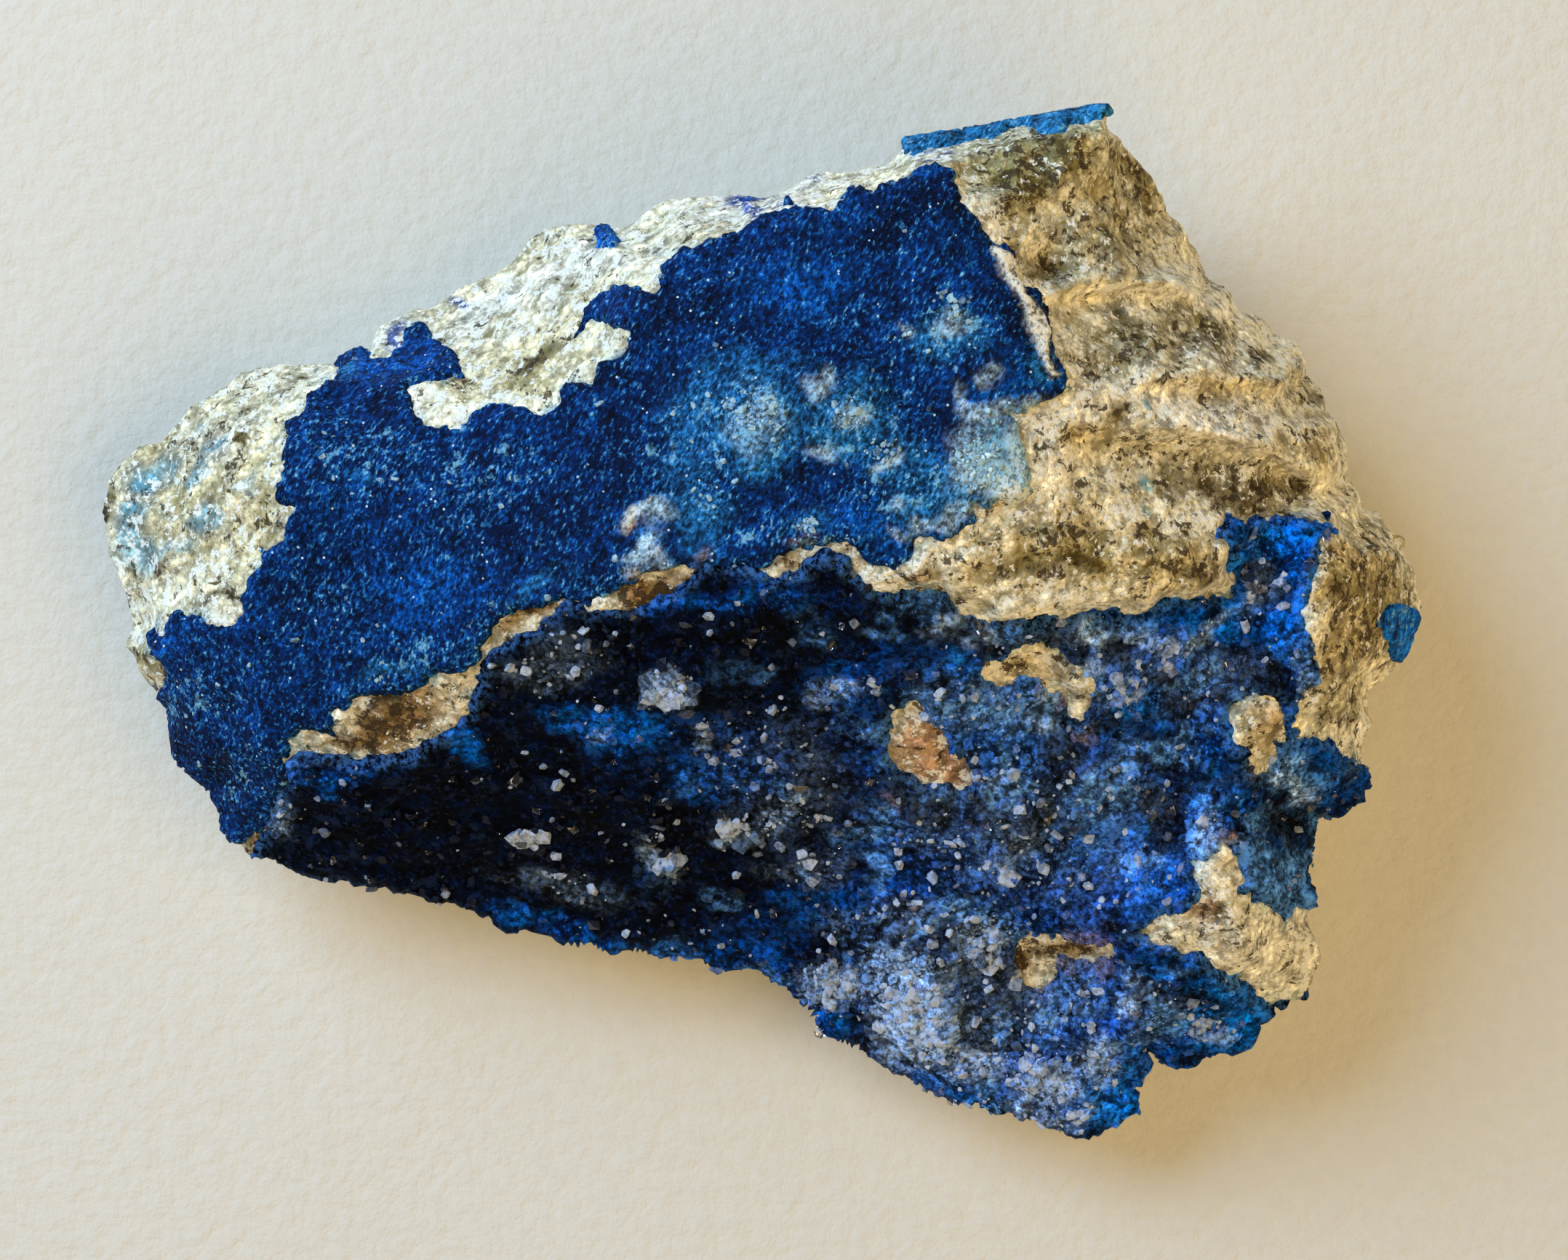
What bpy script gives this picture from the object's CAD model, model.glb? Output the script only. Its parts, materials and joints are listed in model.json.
"""Looks of a hand specimen: blue kinoite crusts and clear apophyllite on pale skarn.

Places in the lists below are in plan, in millimetres, X to the right and Y away.
They are moved to the frame's origin by PLAN_SHIFT.
"""

import functools
import itertools
import json
import math

import bmesh
import bpy
import numpy as np
from bpy.props import FloatProperty, FloatVectorProperty, IntProperty, PointerProperty
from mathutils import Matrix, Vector
from mathutils.bvhtree import BVHTree
from mathutils.noise import noise_vector, seed_set

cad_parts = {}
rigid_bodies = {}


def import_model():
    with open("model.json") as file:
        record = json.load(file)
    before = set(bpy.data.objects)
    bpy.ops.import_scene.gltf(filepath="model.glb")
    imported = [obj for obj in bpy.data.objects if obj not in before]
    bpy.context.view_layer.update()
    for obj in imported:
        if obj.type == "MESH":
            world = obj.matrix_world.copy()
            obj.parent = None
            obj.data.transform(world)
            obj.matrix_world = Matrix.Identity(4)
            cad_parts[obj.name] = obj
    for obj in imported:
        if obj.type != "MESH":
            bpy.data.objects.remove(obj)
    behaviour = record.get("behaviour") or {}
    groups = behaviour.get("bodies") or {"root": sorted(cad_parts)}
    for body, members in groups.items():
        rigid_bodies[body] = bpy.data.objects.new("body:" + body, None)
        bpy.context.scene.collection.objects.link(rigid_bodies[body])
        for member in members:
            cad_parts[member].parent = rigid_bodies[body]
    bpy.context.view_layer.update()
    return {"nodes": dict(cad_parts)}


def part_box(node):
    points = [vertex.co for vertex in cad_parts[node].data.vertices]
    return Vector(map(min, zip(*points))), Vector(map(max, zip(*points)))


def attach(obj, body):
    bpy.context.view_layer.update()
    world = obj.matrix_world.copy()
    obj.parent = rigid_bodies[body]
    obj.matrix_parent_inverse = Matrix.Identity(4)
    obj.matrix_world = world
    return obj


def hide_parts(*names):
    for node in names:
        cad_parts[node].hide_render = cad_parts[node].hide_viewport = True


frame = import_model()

bl_info = {
    "name": "Kinoite specimen looks",
    "version": (1, 0, 0),
    "blender": (4, 5, 0),
    "location": "3D View > Sidebar > Specimen",
    "description": "Builds the stone, crusts and crystals of a kinoite with apophyllite specimen",
    "category": "Object",
}

MM = 0.001
PLAN_SHIFT = np.array((-0.373, 0.135))  # from the lists' origin to the frame's, in millimetres
MERGE = 1e-6  # how near the solids' loose corners lie to be one

# The stone's skin.
SKIN_FACET = 0.62 * MM  # longest edge before any piece's own refining
BASE_FACET = 2.6 * MM  # on the flat underside, and where a crust hides the stone
BASE_HEIGHT = 0.03 * MM  # what lies lower belongs to the flat underside
BASE_FADE = 1.2 * MM  # the height at which the relief above the underside is full
SKIN_ROUNDS = 7  # of smoothing, which takes the solids' facets away
SHRINK = 0.5  # the first step of each round
REGROW = -0.53  # the second step, which swells the skin again
COARSE_SIZE = 4.5 * MM  # of the stone's broadest unevenness
COARSE_HEIGHT = 0.36 * MM
COARSE_END = 0.8 * MM  # how far inside a crust's edge that unevenness ends
HIDDEN = 1.2 * MM  # how far inside a crust's edge the stone no longer shows
SEAT_DEPTH = 0.42 * MM  # how far the stone lies below its skin under a crust
SEAT_SLOPE = (0.1 * MM, 0.6 * MM)  # where inside a crust's edge the stone begins to sink, and has sunk
BURIED = 0.7  # the share of its fine relief that the stone loses under a crust
STAIN_BAND = (-0.9 * MM, -0.1 * MM)  # beside a crust's edge, where the stone is stained blue
STAIN_SIZE = 1.6 * MM
STAIN_SHARE = 0.6
WALL_TURN = (-0.1, 0.25)  # the upward part of a normal on walls, and on faces that are painted in full

# Frayed edges: size and reach of each layer of waviness.
EDGE_FRAYS = ((1.6 * MM, 0.36 * MM), (0.7 * MM, 0.28 * MM), (0.3 * MM, 0.14 * MM))
BLOTCH_FRAYS = ((3.2 * MM, 1.2 * MM), (1.1 * MM, 0.55 * MM))
VEIN_FRAYS = ((0.9 * MM, 0.16 * MM), (0.4 * MM, 0.1 * MM))
GROUP_FRAYS = ((1.4 * MM, 0.5 * MM), (0.6 * MM, 0.25 * MM))

# Soft edges: the shares of a half width at which each begins to fade, and has gone.
BLOTCH_EDGE = (0.35, 1.25)
VEIN_EDGE = (0.55, 1.1)
GROUP_EDGE = (0.55, 1.15)

# The crusts.
EDGE_RISE = (-0.3 * MM, 0.26 * MM)  # where a crust's edge begins to rise, and where it is full
EDGE_MARGIN = 0.5 * MM  # how far a crust's shell reaches past its edge, out of sight in the stone
EDGE_BAND = 0.35 * MM  # the strip along a crust's edge that has the finest mesh
EDGE_SHARE = 0.6  # of a crust's facet, for the mesh along its edge
EDGE_POWDER = (0.1 * MM, 0.7 * MM)  # where the powder along a crust's edge is full, and has gone
CRUST_ROOT = 0.3 * MM  # how far below the stone's skin a crust's edge starts
CRUST_BACK = 0.55 * MM  # how far below the skin its back lies
RIM_REACH = 1.3 * MM  # how soon a crust ends where the stone turns under
RIM_SIZE = 1.2 * MM  # of the waves in that end
RIM_WAVE = 0.1  # their height, as a change of the skin's turn
WINDOW_REACH = 0.22 * MM  # how much wider than its outline a window is
PATCH_REACH = 0.75 * MM  # how far from its solid a small crust may lie
PATCH_SIZE = 0.8 * MM  # of the waves in that reach
PATCH_WAVE = 0.25 * MM
PATCH_FLECKS = 0.3  # how thick the light flecks are on a small crust
VEIN_RISE = 0.35 * MM  # how far the white vein stands above the crust

# Relief of each piece: lumps, the chips on them, and which pattern of noise they take.
STONE_RELIEF = {"lump_size": 2.4 * MM, "chip_size": 0.95 * MM, "pattern": 1.0}
UPPER_RELIEF = {
    "lump_size": 2.2 * MM, "lump_height": 0.22 * MM, "chip_size": 0.8 * MM, "chip_height": 0.2 * MM,
    "pattern": 4.0,
}
LOWER_RELIEF = {
    "lump_size": 2.0 * MM, "lump_height": 0.42 * MM, "chip_size": 0.9 * MM, "chip_height": 0.5 * MM,
    "pattern": 7.0,
}
PATCH_RELIEF = {
    "lump_size": 1.6 * MM, "lump_height": 0.12 * MM, "chip_size": 0.7 * MM, "chip_height": 0.16 * MM,
    "pattern": 9.0,
}
CHIP_MIDDLE = 0.77  # the mean distance to a chip's middle, so that chips neither sink nor lift the skin
CHIP_STIR = 0.6 * MM  # how far the chips' pattern is stirred

# The steep face darkens and pales in patches, and pales under the milky grains.
EAST = (-6 * MM, 14 * MM)  # where, going east, the patches begin, and are at their strongest
EAST_SLANT = 0.4  # how much further east that is for each step away
HOLLOW_SIZE = 3.0 * MM
HOLLOW_EDGE = (0.05, 0.3)  # the noise at which a dark patch begins, and is at its strongest
HOLLOWED = 0.9  # how dark the dark patches are
CLOUD_SIZE = 2.4 * MM
CLOUD_EDGE = (0.15, 0.4)
CLOUDED = 0.6  # how pale the pale ones are
UNDER_DRUSE = 0.6  # how pale the crust is under the milky grains
UNDER_POWER = 1.6  # the higher, the more that keeps to where they are thickest

# Grains: how near and how many to a square metre, their sizes, and how far they lean.
CLEAR_GRAINS = {"spacing": 0.8 * MM, "density": 0.4e6, "tilt": 0.7}
MILKY_GRAINS = {"spacing": 0.2 * MM, "density": 12e6, "smallest": 0.14 * MM, "tilt": 0.6}
SPARKLES = {"spacing": 0.3 * MM, "density": 2.4e6, "smallest": 0.08 * MM, "largest": 0.4 * MM, "tilt": 0.7}
GROUP_GRAINS = {"spacing": 0.15 * MM, "density": 40e6, "smallest": 0.12 * MM, "tilt": 0.6}
GROUP_LARGEST = 0.95 * MM
FELTED_LARGEST = 0.4 * MM
GROUP_CROWD = 0.75  # how thick the crystals are in a group
FELTED = ("dome", "upper", "plateau", "ridge")  # groups that lie on the upper crust
MILKY_SEED = 20  # added to the seed in the settings
SPARKLE_SEED = 40
SMALL_POWER = 2.6  # the higher, the more grains are near the smallest size
NARROWEST = (0.5, 0.5, 0.35)  # a grain's sides, as shares of its size
WIDEST = (1.5, 1.5, 0.8)
LEAN = (1.0, 1.0, 6.0)  # a grain's greatest turn about each axis, in radians, at a tilt of 1
CLEAR_SIZE = 4 * MM  # of the places where clear grains crowd
CLEAR_MEAN = 0.55  # how thick the clear grains are in the middle
CLEAR_SPREAD = 0.45  # and how much thicker or thinner in places
MILKY_LEAST = 0.08  # how thick the milky grains are outside their places
SPARKLE_LEAST = 0.1
SPARKLE_POWER = 1.5  # the higher, the more the sparkles keep to the middles of their places
GROWN = 0.6  # how far a crust has risen where crystals begin to stand on it

# A crystal one unit across.
TIP = 0.35  # how far a pointed one's tip stands above its top
TAPER = 0.8  # the width of its top
UNEVEN = 0.24  # how far a block's corners stray
STIR = 3.7  # the higher, the less neighbouring corners stray together
SEAT = 0.18  # how far the middle stands above the skin

# Patterns in the materials. Their sizes and shares are set where each is used.
MOST = (0.35, 0.65)  # the values that most of a noise lies between
FINEST = 0.07 * MM  # the smallest detail in any pattern
FELT = 0.4 * MM  # of the tufts of needles
GLINT = 0.26 * MM  # of the needles that may glint
DULL = 0.988  # the share of them that do not
GRAIN = 0.6 * MM  # of the lower crust's grains
LIT_TIMES = (2.4, 2.4, 2.4, 1.0)  # the steep face's light places, as its colour times this
LIT_PLUS = (0.01, 0.016, 0.03, 1.0)  # and plus this
TOOTH = (0.3, 0.27, 0.22, 1.0)  # the paper's hollows

# The stage.
FLOOR_SIZE = 4.0
WINDOW_LIGHT = {"azimuth": 143, "elevation": 38, "distance": 0.5, "size": 0.36}
WARM_LAMP = {"azimuth": -35, "elevation": 56, "distance": 0.8, "size": 0.8}
SENSOR = 36.0  # millimetres
CAMERA_DISTANCE = 1.0
CAMERA_REACH = 20.0
FOCUS_HEIGHT = 12 * MM  # the height at which the view is exactly view_width wide
VIEW_CENTRE = (1.54, -0.51)

# Each number picks another pattern of noise.
SEEDS = {
    "coarse": 3, "stone paint": 5, "upper edge": 11, "upper paint": 15, "flecks": 25, "lower paint": 35,
    "lower edge": 37, "clear grains": 51, "milky grains": 55, "patch waves": 71, "patch edge": 73,
    "blue stain": 83, "clouds": 85, "hollows": 87, "vein": 91, "groups": 101, "block corners": 9,
}

# The outlines of the crusts, and of the windows of bare stone in the lower one.
UPPER_CRUST = [
    (-37.6, -5.6), (-35.9, -3.6), (-35.8, -2.8), (-36.2, -2.4), (-36.8, -1.8), (-36.9, -1.3), (-36.5, -0.7),
    (-36, 0.2), (-35.2, 0.6), (-34.4, 0.5), (-33.8, 0.1), (-32.5, 0), (-31.6, 0.1), (-31.2, 0.6),
    (-31.1, 1.6), (-30.8, 2.6), (-30, 3.6), (-29.3, 4.4), (-28.7, 4.8), (-28.4, 5.6), (-28.2, 6.9),
    (-28.9, 7.3), (-29, 7.7), (-28.7, 8.8), (-28.7, 9.8), (-28.5, 11.2), (-28.3, 12.2), (-27.6, 13),
    (-26.8, 13.9), (-25.8, 14.6), (-25.5, 15.2), (-25.9, 15.9), (-25, 16.5), (-24, 16.5), (-23.6, 16),
    (-22.8, 15.9), (-21.9, 16.2), (-21.5, 17), (-21.4, 17.6), (-20.7, 17.9), (-19.9, 17.7), (-19.7, 17),
    (-18.7, 16.6), (-18.2, 16.2), (-18.1, 15.6), (-17.8, 15.2), (-18.3, 14.9), (-19.3, 14.8), (-20.2, 14.6),
    (-20.9, 14.1), (-20.8, 13.5), (-20.2, 12.6), (-19.5, 12), (-19.2, 11.6), (-18.5, 11.5), (-17.8, 11.5),
    (-17.5, 12.1), (-17, 12.5), (-15.8, 12.9), (-15, 12.7), (-13.6, 12), (-12.5, 12.2), (-12.1, 12.9),
    (-11.7, 13.6), (-11.2, 14.1), (-10, 14.2), (-9.7, 15), (-9.3, 15.7), (-8.4, 15.8), (-7.8, 16.3),
    (-7.8, 17), (-8.3, 17.4), (-9, 17.7), (-9.9, 18.1), (-10.9, 17.2), (-10.5, 18.2), (-10.2, 19),
    (-9.7, 19.7), (-8.6, 20.1), (-7.8, 20.3), (-7.1, 20.2), (-6.9, 19.6), (-6.2, 19.8), (-6, 20.8),
    (-5.5, 21.6), (-4.8, 21.8), (-3.8, 22.1), (-3, 22.8), (-1.8, 23.1), (-0.5, 23.7), (0.5, 24.1),
    (1.5, 24.5), (2.5, 24.8), (3.6, 24.9), (4.3, 24.6), (5, 25.3), (6, 25.7), (6.8, 25.6), (7.3, 25.3),
    (7.8, 25.9), (8.7, 26.2), (9.5, 26.7), (10, 27.2), (10.8, 27.3), (11.4, 27.2), (11.6, 26.6),
    (11.7, 25.9), (12, 25.2), (12.6, 24.7), (13.3, 23.9), (13.7, 23), (14.4, 22.2), (15.1, 21.9),
    (15.5, 21.3), (15.8, 20.4), (16.3, 19.9), (16.9, 19.2), (17.3, 18.5), (17.6, 17.6), (17.8, 16.6),
    (18.1, 15.6), (18.2, 14.9), (17.8, 13.6), (17.2, 13.1), (16.5, 12.6), (15.8, 12.4), (15.2, 12.3),
    (15.6, 10.9), (16.2, 9.4), (16.5, 8.2), (15.7, 7.3), (14.2, 7.2), (13, 7.2), (12.9, 6), (12, 5.3),
    (11, 4.9), (9.3, 4.8), (9.2, 4.2), (9, 3.4), (8.3, 3.1), (7.2, 3.2), (6.2, 3.7), (5.7, 4.4), (5, 5),
    (4.2, 4.6), (3, 4.3), (2, 3.9), (1, 3.4), (0, 2.9), (-1, 3.1), (-2.5, 3.4), (-3.2, 3.6), (-4, 3.3),
    (-5, 3.2), (-6.6, 2.9), (-7.4, 2.4), (-8.4, 1.9), (-9.3, 1.6), (-10, 1.1), (-12.2, 1.5), (-13, 0.9),
    (-14.5, 0.6), (-15.6, 0.1), (-16.2, -0.4), (-16.8, -1.8), (-17, -2.7), (-17.8, -2.7), (-19, -3.2),
    (-20, -3.7), (-21, -4.4), (-23.5, -4.4), (-24.6, -4.8), (-25.5, -5.5), (-25.4, -6.6), (-26.2, -6.8),
    (-27.2, -6.5), (-27.8, -6.7), (-28.3, -7.3), (-28.6, -8.7), (-29, -10.5), (-29.8, -12.4), (-30.2, -12.6),
    (-31.4, -13.6), (-32.4, -15), (-36.5, -11),
]
LOWER_CRUST = [
    (-30, -13), (-29.6, -12), (-28.8, -10.5), (-28.5, -8.7), (-27.5, -8), (-24, -8.4), (-21, -7.7),
    (-18.6, -6.6), (-17.5, -5), (-16.7, -3.2), (-16.6, -2), (-15.6, -1.5), (-14, -0.9), (-12.9, 0.1),
    (-11.4, 1), (-10, 0.9), (-8.5, 1.2), (-7, 1.1), (-5, 1.8), (-4, 2.7), (-3, 3.6), (-1.5, 3.4), (0, 3),
    (1, 2.7), (2, 3.2), (3, 3.8), (4.5, 4), (5.6, 3.4), (5.8, 2.7), (6.4, 2), (7.5, 1.8), (8.6, 1.9),
    (10.6, 2), (11.3, 1.4), (12, 0.6), (13, 0.1), (16, 0), (19, 0.2), (20.8, 0.4), (22.8, 0.2), (23.6, 0.6),
    (24.3, 1.3), (25.4, 1.4), (26.8, 1.4), (28.4, 1.8), (28.6, 2.8), (28.5, 3.8), (28.3, 4.6), (27.4, 4.9),
    (27.5, 5.8), (28.2, 6.2), (29, 6), (30.7, 6), (31.2, 6.3), (32.2, 6.3), (34, 6), (34.2, 5.3),
    (33.9, 4.4), (33.8, 3.3), (33.4, 2.4), (33.1, 1.5), (32.9, 0.4), (33.1, -0.6), (33.3, -1.8),
    (33.7, -2.6), (34, -3.8), (32.8, -4.6), (32.2, -5.6), (32.3, -6.5), (33.5, -7), (34.8, -7.5),
    (35.6, -8.6), (36.6, -8.7), (38.6, -8.9), (37.6, -11.6), (35.2, -12.6), (35, -16.6), (36.4, -17.4),
    (36.4, -25), (31.4, -27.6), (25.6, -28.4), (24.4, -30.4), (21.4, -33), (12, -31.4), (3, -27), (0, -23.4),
    (-12, -21.4), (-25, -17.8), (-31, -16.8), (-31, -14.2),
]
LOWER_WINDOWS = [
    [
        (13.6, -2.8), (14.5, -2.1), (15.5, -1.6), (16.7, -1.3), (17.8, -1.5), (18.8, -2.4), (19.6, -3.4),
        (20, -4.6), (19.6, -5.8), (18.9, -5.4), (18.4, -4.4), (17.6, -3.8), (16.6, -3.3), (15.6, -3.3),
        (14.6, -3.6), (13.8, -3.5),
    ],
    [
        (8.2, -5.6), (9, -5.2), (9.8, -5.4), (10, -6.2), (11, -6.8), (11.6, -7.6), (12.5, -8.2),
        (12.8, -9.2), (12.5, -10.1), (11.6, -9.9), (10.6, -9.4), (9.6, -9.3), (8.4, -8.8), (7.9, -8.2),
        (8.1, -7),
    ],
    [
        (28.8, -6.6), (28.9, -5.4), (29.6, -4.8), (30.6, -4.9), (31.2, -5.6), (31.8, -6.6), (31.5, -7.2),
        (30.8, -7.3), (30.4, -8.2), (30, -9), (29.5, -8.6), (29.7, -7.6), (29.1, -7.2),
    ],
    [
        (23.2, -18.6), (24.3, -18), (25.6, -17.4), (26.5, -17), (26.9, -16), (26.2, -14.8), (27.2, -14.4),
        (28, -13.7), (28.8, -14.3), (29.5, -15.5), (29.8, -16.6), (30.8, -17.6), (31.8, -18.2),
        (32.5, -17.6), (33.3, -17.8), (36.8, -18.2), (36.8, -22.4), (33.3, -22.4), (32.6, -22.8),
        (31.5, -22.8), (30.3, -22.6), (29.2, -21.8), (28, -20.9), (26.6, -20), (25.2, -19.3), (24, -19),
    ],
    [
        (15.6, -19.4), (16.6, -18.9), (18, -19.1), (20.4, -19.4), (21.4, -20.2), (20.2, -20.5),
        (17.9, -20.3), (17.6, -21.4), (17.1, -22.5), (16.1, -22), (15.7, -20.6),
    ],
]

PATCHES = {
    "kinoite_corner_vein": [
        (8.4, 28.2), (9.6, 28.4), (12, 29), (14, 29.4), (15.4, 29.7), (16.6, 29.6), (18, 29.8), (19.4, 30.1),
        (20.4, 30.5), (22, 30.8), (23, 33), (8, 31.4),
    ],
    "kinoite_end_patch": [
        (37, -0.3), (37.4, 0.4), (38.3, 1.2), (38.6, 1.4), (39.4, 0.9), (41, 0.8), (40.6, -3.4),
        (38.9, -2.6), (38.2, -1.5), (37.6, -0.8),
    ],
    "kinoite_flank_patch_middle": [
        (-10, 23.8), (-9.4, 24.1), (-8.9, 23.8), (-8.8, 23.2), (-8.3, 22.8), (-8.6, 22.4), (-9.6, 22.4),
        (-9.8, 23),
    ],
}
PATCH_SHADES = ("sky", "royal", "azure")  # of each small crust, in the same order

# Blotches of each colour: x, y, long and short radius, tilt in degrees, and strength.
MATRIX_BLOTCHES = {
    "lemon": [(-33, 8, 8, 9, 0, 0.8), (-14, 18, 10, 6, 30, 0.8), (2, 24.5, 10, 2.4, 12, 0.7)],
    "chalk": [
        (31.6, -18.4, 3.4, 2.6, 0, 0.8), (-33, 11, 4, 2, 35, 0.6), (-16, 18.5, 5, 1.8, 28, 0.7),
        (-11, 21, 4, 1.5, 20, 0.7), (0, 25, 6, 0.9, 12, 0.8), (24, 19.3, 5.5, 0.8, -3, 0.9),
        (29, 15.2, 4.5, 0.7, -8, 0.8), (26, 12.8, 9, 1.4, -4, 0.7), (33.6, 7.2, 2.6, 0.6, 5, 0.9),
        (20, 0.6, 8, 0.5, 2, 0.9), (17.5, 8.5, 1.8, 3, 20, 0.8), (22, 24, 1, 3, 0, 0.4),
        (-20.5, 13, 1.6, 0.8, 0, 0.8), (33, -3.5, 1.6, 1.4, 0, 0.7), (35, -7, 2, 1.2, -20, 0.5),
        (17, -2, 2.5, 0.7, 5, 0.4), (30, -19.4, 4, 2.4, -20, 0.7), (27.2, -15.4, 1.2, 1.4, 0, 0.6),
        (15, 10.6, 3, 2.4, 0, 0.6), (14.6, 17, 5, 2, 0, 0.4),
    ],
    "ochre": [
        (18, 4.4, 5, 2, 0, 0.7), (24, 3.6, 4, 2, 0, 0.6), (36.4, 1, 3.4, 5, 0, 0.7),
        (15.6, 9.4, 1.6, 1.2, 0, 0.3), (13.5, 7.5, 3, 2, 0, 0.35), (-34, 8, 6, 7, 0, 0.25),
        (18, 6, 4, 1.6, 0, 0.4), (20, 12, 3, 1.4, 0, 0.4), (33.5, 10.5, 2.4, 1.8, -30, 0.6),
        (28.5, 14.6, 4, 1.2, 0, 0.4), (36.5, 3, 3, 3.4, 0, 0.6), (35.4, -1, 2.4, 3.6, -20, 0.7),
        (14, 4.5, 3, 2, 0, 0.5), (22, 3.6, 6, 2, 0, 0.5), (17, -2.4, 3, 1.2, 0, 0.6),
        (30, -6.5, 1.6, 2.2, 0, 0.4), (-36.5, -2.6, 2.4, 1.6, -30, 0.5),
    ],
    "olive": [
        (21, 24, 4, 4, 0, 0.55), (37, 1.6, 2.4, 3, 0, 0.6), (15.5, 3, 2.6, 1.4, 0, 0.8),
        (19, 3, 3, 1.2, 0, 0.7), (24.5, 4, 2.4, 1.2, 0, 0.5), (16.5, 27.6, 5.4, 2.6, 18, 0.85),
        (22.4, 26.6, 1.3, 3.2, 20, 0.8), (15.8, 23, 1.2, 2, -20, 0.6), (20.5, 22.6, 2.6, 1.4, 10, 0.5),
        (26.4, 17.7, 2.2, 0.8, -6, 0.9), (21.5, 26, 2, 3, 0, 0.5), (19.4, 7.4, 2, 1.4, 0, 0.3),
        (-14.2, 14.9, 2.6, 1.2, 30, 0.5), (-37.5, -2, 1.4, 1.2, 0, 0.6), (34.8, -4.4, 1.8, 1.6, 0, 0.5),
    ],
    "umber": [
        (17.2, 21.3, 1.1, 0.55, 0, 1), (22.5, 17.8, 0.6, 0.35, 0, 0.9), (30.7, 16.4, 0.8, 0.5, 20, 0.8),
        (28, 8.2, 5.4, 1.9, -8, 0.75), (31.5, 8.2, 2, 0.8, -25, 0.8), (15, 2.6, 1.5, 0.8, 0, 0.6),
        (26, 3, 1.4, 0.8, -10, 0.7), (27.6, 3.2, 0.8, 1, 0, 0.7), (18.2, 2.2, 2.2, 0.9, 10, 0.5),
        (21.6, 12.1, 0.5, 0.35, 0, 0.9), (-18.2, 14.3, 0.7, 0.5, 0, 0.8), (-27.6, 15, 0.8, 0.4, 20, 0.6),
        (-13, 15.8, 2.2, 0.7, 35, 0.7), (35.4, 1.4, 0.4, 1.8, -35, 0.5), (-39.9, 6.3, 0.5, 1.1, 0, 1),
        (-37, 3.3, 0.9, 0.6, 30, 0.8), (-34.8, 3.7, 0.3, 0.3, 0, 1), (-31.3, 11, 0.5, 0.4, 0, 0.8),
        (-39.4, 7.8, 0.5, 0.7, 0, 0.8), (-32.2, 0.9, 1.2, 0.4, 10, 0.8), (-29.8, 5.4, 1.4, 0.6, 60, 0.4),
        (-36.6, 12.2, 1.4, 0.3, 50, 0.5), (-33.2, 14.2, 1.6, 0.3, 30, 0.5), (27.3, -17.2, 2, 0.9, -25, 0.6),
        (28.5, -19.4, 2.4, 0.8, -30, 0.45), (23.2, 15.6, 1.2, 0.4, 10, 0.5), (17.8, 21.8, 1.6, 0.9, 0, 0.4),
    ],
    "drab": [
        (31.6, -18, 3.6, 2.8, 0, 0.2), (24.5, 16.8, 5.6, 1.5, -6, 0.65), (21, 16.2, 1.6, 1.4, 0, 0.5),
        (33.2, 14.3, 1.8, 1.3, -30, 0.5), (26.5, 9.2, 6, 2.4, -6, 0.5), (-30.5, 13.6, 2.4, 0.7, 15, 0.4),
        (-34.5, 6, 3, 2, 20, 0.3), (38.4, 1.6, 1.6, 2.2, 0, 0.4), (18.8, 21, 2.4, 1, 0, 0.4),
    ],
    "tan": [
        (-6.6, 2.3, 2.6, 1, 20, 1), (-14, 0.1, 2.8, 0.9, 25, 0.8), (-22.5, -6, 5.6, 1.9, 18, 0.9),
        (-30.5, -13.4, 1.4, 1, 0, 0.9), (16.6, -20.6, 1.6, 2, 0, 0.9), (19.4, -19.7, 2.4, 0.8, 0, 0.8),
        (7.6, 3, 2.6, 0.8, 0, 0.7), (2.5, 3.9, 3.6, 0.8, 5, 0.7), (-3, 3.4, 3, 0.6, 20, 0.8),
        (13.2, 6.4, 1.6, 0.8, 0, 0.6),
    ],
    "clay": [(10.3, -7.8, 3, 2.8, -30, 0.9), (30.2, -6.2, 1.6, 2, 0, 0.4), (26.4, -16.8, 2.4, 1, -30, 0.6)],
    "stain": [
        (-37.4, 9.4, 1.6, 0.9, 40, 1), (-33.3, 10.9, 1.4, 0.7, 30, 0.8), (-34.6, 9, 1.6, 0.8, 40, 0.8),
        (-37.8, 6.8, 1, 1.6, -30, 1), (-38, 4.8, 1.4, 1.8, 0, 0.8), (-34.2, 5.7, 1.6, 0.9, -10, 0.8),
        (-36, 4.4, 1.8, 0.6, 0, 0.7), (-31, 8.2, 1.2, 0.6, 30, 0.5), (23.6, 8.6, 0.35, 0.55, 0, 1),
        (23.7, 6.4, 0.4, 0.5, 0, 0.9), (23.6, 12.4, 0.35, 0.6, 20, 0.9), (19.2, 14.9, 0.7, 0.3, -10, 0.8),
        (17.4, 5.4, 1.4, 1, 0, 0.35),
    ],
    "cobalt": [
        (-18.6, 18.6, 0.6, 0.4, 0, 1), (-0.6, 25.3, 1.5, 0.45, 5, 1), (2.4, 25.9, 1.6, 0.25, 10, 0.9),
        (10.4, 28.5, 2.4, 0.25, 14, 0.9), (-21.6, 17.5, 0.8, 0.5, 0, 0.9), (36, -9.6, 0.9, 0.9, 0, 0.9),
    ],
}
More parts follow.
